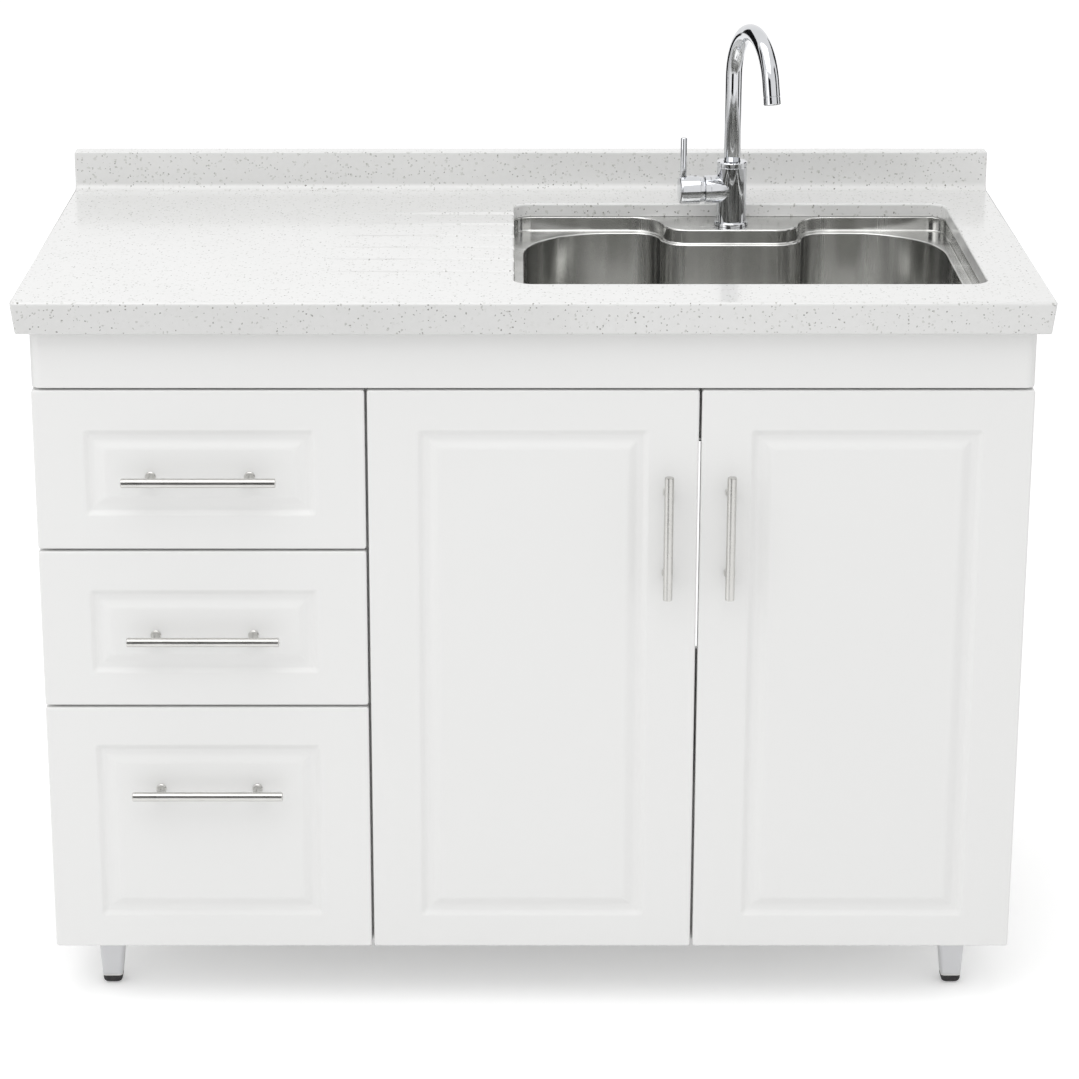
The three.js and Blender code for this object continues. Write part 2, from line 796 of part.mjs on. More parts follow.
function drawer(index, frontBottom) {
  const name = `drawer_${index + 1}`;
  const frontHeight = drawerFrontHeights[index];
  const sideHeight = drawerSideHeights[index];
  const bottomTop = drawerSideWall + seatGap + drawerBottomThickness;
  const inside = [-drawerInnerHalf + seatGap, drawerInnerHalf - seatGap];
  const front = piece(`${name}_front`, geometryOf(frontSolid(columnWidth, frontHeight)), finishes.frontFoil);
  const handle = piece(
    `${name}_handle`,
    handleGeometry(drawerHandleLength, drawerHandlePostSpacing),
    finishes.brushedSteel,
  );
  const bottom = block(
    inside,
    [drawerBoxFront, drawerBoxBack - drawerBackThickness - seatGap],
    [drawerSideWall + seatGap, bottomTop],
  );
  const back = block(
    inside,
    [drawerBoxBack - drawerBackThickness, drawerBoxBack],
    [drawerSideWall + seatGap, sideHeight],
  );
  const box = new THREE.Group();
  box.add(
    piece(`${name}_side_left`, drawerSideGeometry(-1, sideHeight), finishes.runnerSteel),
    piece(`${name}_side_right`, drawerSideGeometry(1, sideHeight), finishes.runnerSteel),
    piece(`${name}_bottom`, bottom, finishes.board),
    piece(`${name}_back`, back, finishes.board),
  );
  const group = new THREE.Group();
  group.add(
    front,
    placed(handle, 0, 0, frontHeight - drawerHandleDrop),
    placed(box, drawerBayX - drawerColumnX, 0, drawerBoxLift),
  );
  return placed(group, drawerColumnX, frontFaceY, frontBottom);
}

// A channel fixed to the carcass that carries one drawer side's tongue, open towards the drawer.
function runnerGeometry(side) {
  const wallX = runnerWallHalf;
  const openX = wallX - runnerChannelDepth;
  const tongueBottom = -seatGap;
  const tongueTop = runnerTongueThickness + seatGap;
  const points = [
    [openX, tongueBottom - runnerChannelWall],
    [wallX, tongueBottom - runnerChannelWall],
    [wallX, tongueTop + runnerChannelWall],
    [openX, tongueTop + runnerChannelWall],
    [openX, tongueTop],
    [wallX - runnerChannelWall, tongueTop],
    [wallX - runnerChannelWall, tongueBottom],
    [openX, tongueBottom],
  ];
  const section = polygon(points.map(([x, z]) => [side * x, z]));
  return pulledAlongY(section, carcassFrontY + seatGap, carcassFrontY + runnerChannelLength);
}

function drawers() {
  const group = new THREE.Group();
  let frontTop = frontsTop;
  drawerFrontHeights.forEach((height, index) => {
    const frontBottom = frontTop - height;
    const tongueZ = frontBottom + drawerBoxLift + runnerLift;
    group.add(drawer(index, frontBottom));
    for (const [label, side] of [['left', -1], ['right', 1]]) {
      const runner = piece(`runner_${index + 1}_${label}`, runnerGeometry(side), finishes.runnerSteel);
      group.add(placed(runner, drawerBayX, 0, tongueZ));
    }
    frontTop = frontBottom - frontGap;
  });
  return group;
}

// ---------------------------------------------------------------- doors and hinges

const doorHeight = frontsTop - frontsBottom;
const hingeHeights = [hingeEndDistance, doorHeight - hingeEndDistance];
const hingeCupX = hingeCupEdgeDistance + hingeCupRadius;

// A hinge cup, open towards the cupboard, in its pocket in the door.
function hingeCupGeometry() {
  const outer = hingeCupRadius - seatGap;
  const inner = outer - hingeCupWall;
  return turned([
    [0, seatGap],
    [outer, seatGap],
    [outer, hingeCupDepth],
    [inner, hingeCupDepth],
    [inner, seatGap + hingeCupWall],
    [0, seatGap + hingeCupWall],
  ]).rotateX(-Math.PI / 2);
}

// A hinge arm and its plate: x is the distance from the door's hinged edge, y from the door's face.
// The plate lies on the board whose face is boardX from that edge, and the nose reaches into the cup.
function hingeArmGeometry(side, boardX) {
  const plateX = boardX + seatGap;
  const carcassY = frontThickness + frontToCarcassGap;
  const bridgeY = carcassY + hingeArmBridgeDepth;
  const limits = (x0, x1) => (side > 0 ? [-x1, -x0] : [x0, x1]);
  const half = (height) => [-height / 2, height / 2];
  const nose = block(
    limits(hingeNoseNear, hingeNoseFar),
    [frontThickness - hingeCupDepth + hingeCupWall + 2 * seatGap, bridgeY],
    half(hingeNoseHeight),
  );
  const bridge = block(limits(plateX, hingeNoseFar), [carcassY + seatGap, bridgeY], half(hingeArmHeight));
  const arm = block(
    limits(plateX, plateX + 3 * hingePlateThickness),
    [carcassY + seatGap, carcassY + hingeArmLength],
    half(hingeArmHeight),
  );
  const plate = block(
    limits(plateX, plateX + hingePlateThickness),
    [carcassY + hingePlateInset, carcassY + hingePlateInset + hingePlateDepth],
    half(hingePlateHeight),
  );
  return geometryOf(joined(solid(nose), solid(bridge), solid(arm), solid(plate)));
}

// A door hung on the given side (-1 left, 1 right), between the limits that its column leaves.
function door(name, side, centreX, boardX) {
  const hingedX = (side * columnWidth) / 2;
  const pocketX = hingedX - side * hingeCupX;
  const pocketY = frontThickness - hingeCupDepth;
  const pockets = hingeHeights.map((z) => {
    const pocket = rod(hingeCupRadius, pocketY, frontThickness + 1, 24).rotateX(-Math.PI / 2);
    return solid(pocket.translate(pocketX, 0, z));
  });
  const group = new THREE.Group();
  const leaf = cut(frontSolid(columnWidth, doorHeight), ...pockets);
  const handle = piece(
    `${name}_handle`,
    handleGeometry(doorHandleLength, doorHandlePostSpacing),
    finishes.brushedSteel,
  );
  handle.rotation.y = Math.PI / 2;
  const handleX = side * (doorHandleEdgeDistance - columnWidth / 2);
  group.add(
    piece(name, geometryOf(leaf), finishes.frontFoil),
    placed(handle, handleX, 0, doorHeight - doorHandleDrop),
  );
  ['lower', 'upper'].forEach((level, index) => {
    const cup = piece(`${name}_hinge_cup_${level}`, hingeCupGeometry(), finishes.brushedSteel);
    const arm = piece(`${name}_hinge_arm_${level}`, hingeArmGeometry(side, boardX), finishes.brushedSteel);
    group.add(placed(cup, pocketX, pocketY, hingeHeights[index]));
    group.add(placed(arm, hingedX, 0, hingeHeights[index]));
  });
  return placed(group, centreX, frontFaceY, frontsBottom);
}

// ---------------------------------------------------------------- tap

const spoutSocketBottom = tapBodyHeight - spoutBoreDepth;
const tapSeat = flangeTop + seatGap;

// Turns a geometry made along +Z to point out of the tap's side along the cartridge's axis.
function alongCartridge(geometry) {
  return geometry.rotateY(-Math.PI / 2).translate(0, 0, cartridgeHeight);
}

function tapBodyGeometry() {
  const body = turned([
    [0, -tapShankLength],
    [tapShankRadius, -tapShankLength],
    [tapShankRadius, 0],
    [tapFlangeRadius, 0],
    [tapFlangeRadius, tapFlangeHeight],
    [tapBodyRadius, tapFlangeHeight],
    [tapBodyRadius, tapBodyHeight],
    [0, tapBodyHeight],
  ]);
  const housing = alongCartridge(rod(cartridgeRadius, 0, cartridgeShoulder, 24));
  const stemBore = alongCartridge(rod(stemBoreRadius, cartridgeShoulder - stemBoreDepth, cartridgeShoulder + 1));
  const spoutBore = rod(spoutTubeRadius + seatGap, spoutSocketBottom, tapBodyHeight + 1, 24);
  return geometryOf(cut(joined(solid(body), solid(housing)), solid(stemBore), solid(spoutBore)));
}

// The stem's shaft turns in the body, and its dome is the ball that the lever cap tilts on.
function cartridgeStemGeometry() {
  const pivot = cartridgeShoulder + leverJointGap;
  const shoulder = cartridgeShoulder + seatGap;
  const shaft = stemBoreRadius - seatGap;
  const start = THREE.MathUtils.radToDeg(Math.asin((pivot - shoulder) / leverDomeRadius));
  return alongCartridge(
    turned([
      [0, cartridgeShoulder - stemBoreDepth + seatGap],
      [shaft, cartridgeShoulder - stemBoreDepth + seatGap],
      [shaft, shoulder],
      ...arcPoints(0, pivot, leverDomeRadius, -start, 80, 8),
      [0, pivot + leverDomeRadius],
    ]),
  );
}

function leverCapGeometry() {
  const rim = cartridgeShoulder + leverJointGap;
  const end = rim + leverCapLength;
  const cup = turned([
    [leverCapBoreRadius, rim],
    [cartridgeRadius, rim],
    [cartridgeRadius, end],
    [0, end],
    [0, rim + leverCapBoreDepth],
    [leverCapBoreRadius, rim + leverCapBoreDepth],
    [leverCapBoreRadius, rim],
  ]);
  const socket = rod(leverPinRadius + seatGap, cartridgeRadius - leverPinSocket, cartridgeRadius + 1, 12);
  return geometryOf(
    solid(alongCartridge(cup)).subtract(
      solid(socket.translate(-(end - leverPinEndDistance), 0, cartridgeHeight)),
    ),
  );
}

function leverPinGeometry() {
  const end = cartridgeShoulder + leverJointGap + leverCapLength;
  const bottom = cartridgeRadius - leverPinSocket + seatGap;
  const pin = rod(leverPinRadius, bottom, cartridgeRadius + leverPinHeight, 12);
  return pin.translate(-(end - leverPinEndDistance), 0, cartridgeHeight);
}

// The middle line of the spout in the plane of its arch: up, over and down.
class SpoutLine extends THREE.Curve {
  constructor() {
    super();
    this.foot = spoutSocketBottom + seatGap;
    this.spring = spoutHeight - spoutTubeRadius - spoutArchRadius;
    this.rise = this.spring - this.foot;
    this.sweep = THREE.MathUtils.degToRad(spoutArchAngle);
    this.arch = spoutArchRadius * this.sweep;
    this.total = this.rise + this.arch + spoutEndLength;
  }

  getPoint(t, target = new THREE.Vector3()) {
    const travelled = t * this.total;
    if (travelled <= this.rise) {
      return target.set(0, 0, this.foot + travelled);
    }
    const angle = Math.min((travelled - this.rise) / spoutArchRadius, this.sweep);
    const past = Math.max(travelled - this.rise - this.arch, 0);
    const out = spoutArchRadius * (1 - Math.cos(angle)) + past * Math.sin(angle);
    const up = this.spring + spoutArchRadius * Math.sin(angle) + past * Math.cos(angle);
    return target.set(0, -out, up);
  }
}

function spoutGeometry() {
  const line = new SpoutLine();
  const section = new THREE.Shape();
  section.absarc(0, 0, spoutTubeRadius, 0, 2 * Math.PI);
  const options = { steps: 36, curveSegments: 7, extrudePath: line };
  const tube = new THREE.ExtrudeGeometry(section, options);
  const end = line.getPoint(1);
  const direction = end.clone().sub(line.getPoint(0.98)).normalize();
  const bore = rod(spoutOutletBoreRadius, -spoutOutletBoreDepth, 1, 14);
  bore.applyQuaternion(new THREE.Quaternion().setFromUnitVectors(Z, direction));
  return geometryOf(solid(tube).subtract(solid(bore.translate(end.x, end.y, end.z))));
}

function tap() {
  const lever = new THREE.Group();
  lever.add(
    piece('cartridge_stem', cartridgeStemGeometry(), finishes.chrome),
    piece('lever_cap', leverCapGeometry(), finishes.chrome),
    piece('lever_pin', leverPinGeometry(), finishes.chrome),
  );
  const body = piece('faucet_body', tapBodyGeometry(), finishes.chrome);
  const turnedPart = new THREE.Group();
  turnedPart.add(body, lever);
  turnedPart.rotation.z = THREE.MathUtils.degToRad(cartridgeTurn);
  const spout = piece('faucet_spout', spoutGeometry(), finishes.chrome);
  spout.rotation.z = THREE.MathUtils.degToRad(spoutTurn);
  const group = new THREE.Group();
  group.add(turnedPart, spout);
  return placed(group, tapX, tapY, tapSeat);
}

// ---------------------------------------------------------------- the whole unit

const unit = new THREE.Group();
unit.add(
  piece('countertop', worktopGeometry(), finishes.caststone),
  piece('sink', basinGeometry(), finishes.brushedSteel),
  placed(piece('strainer_body', strainerGeometry(), finishes.brushedSteel), basinCentreX, basinCentreY, bowlFloor),
  placed(piece('strainer_basket', basketGeometry(), finishes.brushedSteel), basinCentreX, basinCentreY, bowlFloor),
  placed(piece('drain_trap', trapGeometry(), finishes.pipePlastic), basinCentreX, basinCentreY, bowlFloor),
  carcass(),
  leg('front_left', -1, -1),
  leg('front_right', 1, -1),
  leg('back_left', -1, 1),
  leg('back_right', 1, 1),
  drawers(),
  door('left_door', -1, 0, (boardThickness - frontGap) / 2),
  door('right_door', 1, columnWidth + frontGap, boardThickness),
  tap(),
);

export default unit;
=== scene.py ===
import math

import bmesh
import bpy
from mathutils import Matrix, Vector


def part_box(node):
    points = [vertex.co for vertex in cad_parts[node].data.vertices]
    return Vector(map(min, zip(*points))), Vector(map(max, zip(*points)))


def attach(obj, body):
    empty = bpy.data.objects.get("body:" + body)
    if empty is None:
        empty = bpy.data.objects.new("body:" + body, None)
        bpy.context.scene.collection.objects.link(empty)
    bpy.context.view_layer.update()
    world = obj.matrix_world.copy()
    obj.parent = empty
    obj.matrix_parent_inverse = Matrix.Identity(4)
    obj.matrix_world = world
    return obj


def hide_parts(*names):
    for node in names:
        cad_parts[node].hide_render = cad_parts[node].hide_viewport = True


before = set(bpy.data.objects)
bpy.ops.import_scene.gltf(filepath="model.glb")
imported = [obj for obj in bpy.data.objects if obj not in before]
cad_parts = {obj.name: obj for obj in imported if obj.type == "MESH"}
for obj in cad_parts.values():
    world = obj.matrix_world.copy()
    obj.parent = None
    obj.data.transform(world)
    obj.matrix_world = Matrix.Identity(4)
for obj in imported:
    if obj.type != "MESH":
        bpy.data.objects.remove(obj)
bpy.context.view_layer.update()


# ------------------------------------------------------------------ worktop
# The worktop is one casting of stone chips in white resin, with an upstand along the wall and a deep rim
# round its underside. The opening and the six drain grooves are ground into it, and every edge is eased.

MM = 0.001
TOP = 900 * MM


class Level:
    """A number that varies over a surface. Arithmetic on it adds the nodes that work it out."""

    def __init__(self, finish, socket):
        self.finish = finish
        self.socket = socket

    def __add__(self, other):
        return self.finish.maths("ADD", self, other)

    def __sub__(self, other):
        return self.finish.maths("SUBTRACT", self, other)

    def __rsub__(self, other):
        return self.finish.maths("SUBTRACT", other, self)

    def __mul__(self, other):
        return self.finish.maths("MULTIPLY", self, other)

    def __gt__(self, other):
        return self.finish.maths("GREATER_THAN", self, other)

    def __lt__(self, other):
        return self.finish.maths("LESS_THAN", self, other)

    __radd__ = __add__
    __rmul__ = __mul__


class Finish:
    """A material of the unit. What varies over it is worked out from the place in the unit's own frame."""

    def __init__(self, name, color, roughness, **constants):
        self.material = bpy.data.materials.new(name)
        self.material.use_nodes = True
        self.tree = self.material.node_tree
        self.shader = self.tree.nodes["Principled BSDF"]
        self.feed("Base Color", (*color, 1.0))
        self.feed("Roughness", roughness)
        for socket, value in constants.items():
            self.feed(socket.replace("_", " ").title().replace("Ior", "IOR"), value)
        self.place = self.node("ShaderNodeTexCoord").outputs["Object"]

    def put(self, socket, value):
        if isinstance(value, Level):
            value = value.socket
        if isinstance(value, bpy.types.NodeSocket):
            self.tree.links.new(value, socket)
        else:
            socket.default_value = value

    def node(self, kind, settings=(), inputs=()):
        made = self.tree.nodes.new(kind)
        for setting, value in dict(settings).items():
            if setting == "stops":
                for stop, (position, shade) in zip(made.color_ramp.elements, value):
                    stop.position = position
                    stop.color = (shade, shade, shade, 1.0)
            else:
                setattr(made, setting, value)
        for socket, value in dict(inputs).items():
            self.put(made.inputs[socket], value)
        return made

    def feed(self, socket, value):
        self.put(self.shader.inputs[socket], value)

    def maths(self, operation, first, second):
        made = self.node("ShaderNodeMath", {"operation": operation}, {0: first, 1: second})
        return Level(self, made.outputs[0])

    def stretched(self, scale):
        inputs = {"Vector": self.place, "Scale": scale}
        return self.node("ShaderNodeMapping", (), inputs).outputs["Vector"]

    def noise(self, scale, detail=2.0, distortion=0.0, place=None):
        inputs = {"Vector": place or self.place, "Scale": scale, "Detail": detail, "Distortion": distortion}
        return Level(self, self.node("ShaderNodeTexNoise", (), inputs).outputs["Fac"])

    def ramp(self, level, low, high):
        settings = {"stops": ((low, 0.0), (high, 1.0))}
        return Level(self, self.node("ShaderNodeValToRGB", settings, {"Fac": level}).outputs["Color"])

    def cells(self, scale):
        made = self.node("ShaderNodeTexVoronoi", (), {"Vector": self.place, "Scale": scale})
        apart = self.node("ShaderNodeSeparateColor", (), {"Color": made.outputs["Color"]})
        return [Level(self, made.outputs["Distance"])] + [Level(self, apart.outputs[i]) for i in (0, 1)]

    def mixed(self, share, first, second):
        first = (*first, 1.0) if isinstance(first, tuple) else first
        second = (*second, 1.0) if isinstance(second, tuple) else second
        made = self.node("ShaderNodeMix", {"data_type": "RGBA"}, {0: share, 6: first, 7: second})
        return made.outputs[2]

    def bump(self, height, strength, distance):
        inputs = {"Height": height, "Strength": strength, "Distance": distance}
        self.feed("Normal", self.node("ShaderNodeBump", (), inputs).outputs["Normal"])


def arc(centre_a, centre_b, radius, start, end, steps):
    """Points round part of a circle, start to end in degrees."""
    turns = [math.radians(start + (end - start) * i / steps) for i in range(steps + 1)]
    return [(centre_a + radius * math.cos(t), centre_b + radius * math.sin(t)) for t in turns]


def outline(shape, points):
    """Vertices at the points, joined by edges into a closed ring."""
    corners = [shape.verts.new(p) for p in points]
    return [shape.edges.new((a, b)) for a, b in zip(corners, corners[1:] + corners[:1])]


def lofted(rings):
    """A skin through rings that hold the same number of points, closed at both ends."""
    shape = bmesh.new()
    loops = [outline(shape, ring) for ring in rings]
    for lower, upper in zip(loops, loops[1:]):
        bmesh.ops.bridge_loops(shape, edges=lower + upper)
    for loop in (loops[0], loops[-1]):
        bmesh.ops.edgeloop_fill(shape, edges=loop)
    bmesh.ops.recalc_face_normals(shape, faces=shape.faces)
    return shape


def rotated(shape, angle, axis):
    bmesh.ops.rotate(shape, matrix=Matrix.Rotation(angle, 3, axis), verts=shape.verts)
    return shape


def moved(shape, vec):
    bmesh.ops.translate(shape, vec=vec, verts=shape.verts)
    return shape


def rounded_ring(left, right, front, back, radius, grow, z, steps=12):
    """A rectangle with rounded corners at height z, grown outwards."""
    corners = (
        (left + radius, front + radius, 180),
        (right - radius, front + radius, 270),
        (right - radius, back - radius, 0),
        (left + radius, back - radius, 90),
    )
    points = [p for x, y, start in corners for p in arc(x, y, radius + grow, start, start + 90, steps)]
    return [(x, y, z) for x, y in points]


def as_object(name, shape):
    mesh = bpy.data.meshes.new(name)
    shape.to_mesh(mesh)
    shape.free()
    thing = bpy.data.objects.new(name, mesh)
    bpy.context.scene.collection.objects.link(thing)
    return thing


def worked(base, tools, operation="DIFFERENCE"):
    """The base shape with the tool shapes cut out of it or joined to it."""
    target = as_object("target", base)
    helpers = [as_object("tool", tool) for tool in tools]
    for helper in helpers:
        step = target.modifiers.new("step", "BOOLEAN")
        step.operation = operation
        step.solver = "EXACT"
        step.object = helper
    bpy.context.view_layer.update()
    done = target.evaluated_get(bpy.context.evaluated_depsgraph_get())
    shape = bmesh.new()
    shape.from_mesh(done.to_mesh())
    for thing in [target, *helpers]:
        mesh = thing.data
        bpy.data.objects.remove(thing)
        bpy.data.meshes.remove(mesh)
    bmesh.ops.remove_doubles(shape, verts=shape.verts, dist=0.002 * MM)
    return shape


def add_piece(name, shape, body, finish, stands_for=(), sharp=35, even=False):
    """Makes a piece of the unit from its shape, in its finish, on its body."""
    thing = as_object(name, shape)
    thing.data.shade_smooth()
    thing.data.set_sharp_from_angle(angle=math.radians(sharp))
    thing.data.materials.append(finish.material)
    if even:
        thing.modifiers.new("even shading", "WEIGHTED_NORMAL").keep_sharp = True
    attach(thing, body)
    if stands_for:
        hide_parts(*stands_for)
    return thing


def block(x, y, z, ease=0.0, steps=2):
    """A board or bar between limits along each axis, with its edges eased."""
    shape = bmesh.new()
    bmesh.ops.create_cube(shape, size=1.0)
    bmesh.ops.scale(shape, vec=(x[1] - x[0], y[1] - y[0], z[1] - z[0]), verts=shape.verts)
    moved(shape, (sum(x) / 2, sum(y) / 2, sum(z) / 2))
    if ease:
        bmesh.ops.bevel(
            shape, geom=shape.edges[:], offset=ease, segments=steps, profile=0.5, affect="EDGES", material=-1
        )
    return shape


OPENING = {"left": -22 * MM, "right": 534 * MM, "front": -209 * MM, "back": 199 * MM, "radius": 22 * MM}
UNDERSIDE = 883 * MM

# Each size of chip: cells per metre, share of cells left empty, how far a chip fills its cell, how much its
# strength varies, its least strength, its colour.
CHIP_SIZES = (
    (145, 0.60, 0.86, 0.7, 0.0, (0.50, 0.505, 0.475)),
    (205, 0.76, 0.84, 0.6, 0.2, (0.34, 0.34, 0.31)),
    (300, 0.86, 0.85, 0.5, 0.45, (0.13, 0.127, 0.11)),
)

stone = Finish("worktop_stone", (0.70, 0.70, 0.69), 0.2, coat_weight=0.3, coat_roughness=0.08)
cloud = stone.noise(7, 4)
mottle = stone.noise(150, 3)
ground = stone.mixed(cloud * 0.5 + mottle * 0.5, (0.665, 0.665, 0.655), (0.765, 0.765, 0.76))
wobble = stone.noise(420, 5) * 1.2
for scale, empty, filled, varied, least, color in CHIP_SIZES:
    distance, pick, shade = stone.cells(scale)
    chips = (pick > empty) * (distance + wobble < filled)
    ground = stone.mixed(chips * (shade * varied + least), ground, color)
stone.feed("Base Color", ground)
stone.feed("Roughness", stone.noise(45, 3) * 0.12 + 0.13)
stone.bump(mottle * 0.6 + chips * 0.4, 0.04, 0.3 * MM)


def worktop_shape():
    """A section pulled along the wall, drawn in at both ends, hollow below, with the basin's opening."""
    low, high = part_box("countertop")
    front, back, half = low.y, high.y, high.x
    rim = low.z
    crest = high.z
    upstand = back - 24 * MM
    edge = 4 * MM
    cove = 10 * MM
    ease = 2 * MM
    section = (
        arc(front + ease, rim + ease, ease, 270, 180, 4)
        + arc(front + edge, TOP - edge, edge, 180, 90, 7)
        + arc(upstand - cove, TOP + cove, cove, 270, 360, 9)
        + arc(upstand + ease, crest - ease, ease, 180, 90, 4)
        + arc(back - ease, crest - ease, ease, 90, 0, 3)
        + arc(back - ease, rim + ease, ease, 0, -90, 3)
    )
    body = lofted([[(x, y, z) for y, z in section] for x in (-half, half)])
    every = body.verts[:] + body.edges[:] + body.faces[:]
    turn_height = TOP - 0.2 * MM
    draw_in = 5 / 38
    bmesh.ops.bisect_plane(body, geom=every, plane_co=(0, 0, turn_height), plane_no=(0, 0, 1), dist=0.01 * MM)
    for corner in body.verts:
        drop = max(turn_height - corner.co.z, 0.0)
        corner.co.x -= math.copysign(drop * draw_in, corner.co.x)
    ends = [e for e in body.edges if len(e.link_faces) == 2 and e.calc_face_angle() > math.radians(75)]
    bmesh.ops.bevel(body, geom=ends, offset=ease, segments=3, profile=0.5, affect="EDGES", material=-1)
    hollow_half = 555 * MM
    hollow_depth = (front + 39 * MM, back - 40 * MM)
    hollow = block((-hollow_half, hollow_half), hollow_depth, (rim - 5 * MM, UNDERSIDE))
    lip = 3 * MM
    levels = [(0.0, UNDERSIDE - 5 * MM), (0.0, TOP - lip)]
    levels += [
        (lip * (1 - math.cos(math.radians(t))), TOP - lip + lip * math.sin(math.radians(t)))
        for t in (15, 30, 45, 60, 72, 82)
    ]
    levels += [(lip * 1.05, TOP + 0.6 * MM), (lip * 1.05, TOP + 6 * MM)]
    opening = lofted([rounded_ring(**OPENING, grow=grow, z=z) for grow, z in levels])
    return worked(body, [hollow, opening, *groove_tools()])


def groove_tools():
    """One round bar for each drain groove, tilted so that the groove is deepest at the basin."""
    pitch = 59.5 * MM
    middle_y = -5 * MM
    length = 246 * MM
    depth = 3.5 * MM
    radius = 9 * MM
    spare = 6 * MM
    tools = []
    for index in range(6):
        tool = bmesh.new()
        bmesh.ops.create_cone(
            tool, cap_ends=True, segments=48, radius1=radius, radius2=radius, depth=length + 2 * spare
        )
        fall = math.atan(depth / length)
        rotated(tool, fall - math.pi / 2, "Y")
        y = (index - 2.5) * pitch + middle_y
        middle = Vector((OPENING["left"] - length / 2, y, TOP - depth / 2 + radius))
        tools.append(moved(tool, middle))
    return tools


add_piece("worktop", worktop_shape(), "unit", stone, ["countertop"], 32, True)


# ------------------------------------------------------------------ basin
# The basin is pressed from one sheet of stainless steel. It hangs under the stone on its flange: a drop
# wall, a narrow ledge, then the deep bowl. A tongue of the flange comes forward as the tap's deck.

BASIN_X = 256 * MM
BASIN_Y = -5 * MM
BOWL_FLOOR = 700 * MM
SHEET = 1.4 * MM
FLANGE_TOP = 882.7 * MM
LEDGE = 864 * MM
TONGUE_WIDTH = 111
TAP_Y = 158 * MM
DROP = {
    "sides": (-22, 534, -209, 199),
    "corners": (22, 22),
    "tongue": (127, 31, 44),
}
BOWL = {
    "sides": (-10, 522, -197, 187),
    "corners": (60, 110),
    "tongue": (122, 36, 32),
}

basin_steel = Finish("sink_steel", (0.64, 0.64, 0.625), 0.24, metallic=1.0)
# The steel's colour is partly painted reflection: broad upright light and dark bands on the bowl's walls
# stand for the studio mirrored in the brushed sheet, mixed with random patches of tone.
upright_streak_noise = basin_steel.noise(1, 2, 0.0, basin_steel.stretched((17, 17, 1.2)))
painted_reflection_bands = basin_steel.ramp(upright_streak_noise, 0.37, 0.63)
patches = basin_steel.noise(9, 3, 0.4, basin_steel.stretched((1, 1, 0.5)))
grain = basin_steel.noise(1, 4, 0.0, basin_steel.stretched((1500, 1500, 14)))
painted_streaks_and_wear = painted_reflection_bands * 0.6 + patches * 0.4
basin_steel.feed("Base Color", basin_steel.mixed(painted_streaks_and_wear, (0.50, 0.50, 0.485), (0.77, 0.77, 0.755)))
basin_steel.feed("Roughness", painted_reflection_bands * 0.12 + grain * 0.05 + 0.13)
basin_steel.bump(grain, 0.06, 0.05 * MM)


def basin_ring(plan, grow, z, steps=10):
    """The basin's outline at height z, grown outwards: eight arcs, with the deck's tongue at the back."""
    left, right, front, back = plan["sides"]
    front_radius, back_radius = plan["corners"]
    tongue_front, tongue_radius, shoulder_radius = plan["tongue"]
    reach = tongue_radius + shoulder_radius
    turn_cosine = 1 - (back - tongue_front) / reach
    turn = math.degrees(math.acos(turn_cosine))
    middle = (left + right) / 2
    tongue_x = TONGUE_WIDTH / 2
    tongue_y = tongue_front + tongue_radius
    shoulder_x = tongue_x + reach * math.sqrt(1 - turn_cosine**2)
    shoulder_y = back - shoulder_radius
    arcs = (
        (left + front_radius, front + front_radius, front_radius + grow, 180, 270),
        (right - front_radius, front + front_radius, front_radius + grow, 270, 360),
        (right - back_radius, back - back_radius, back_radius + grow, 0, 90),
        (middle + shoulder_x, shoulder_y, shoulder_radius + grow, 90, 90 + turn),
        (middle + tongue_x, tongue_y, tongue_radius - grow, turn - 90, -90),
        (middle - tongue_x, tongue_y, tongue_radius - grow, -90, -90 - turn),
        (middle - shoulder_x, shoulder_y, shoulder_radius + grow, 90 - turn, 90),
        (left + back_radius, back - back_radius, back_radius + grow, 90, 180),
    )
    points = [p for arc_of in arcs for p in arc(*arc_of, steps)]
    kept = [p for p, q in zip(points, points[1:] + points[:1]) if math.dist(p, q) > 0.001]
    return [(x * MM, y * MM, z) for x, y in kept]


def circle_ring(x, y, z, radius, steps=48):
    return [(px, py, z) for px, py in arc(x, y, radius, 0, 360, steps)[:-1]]


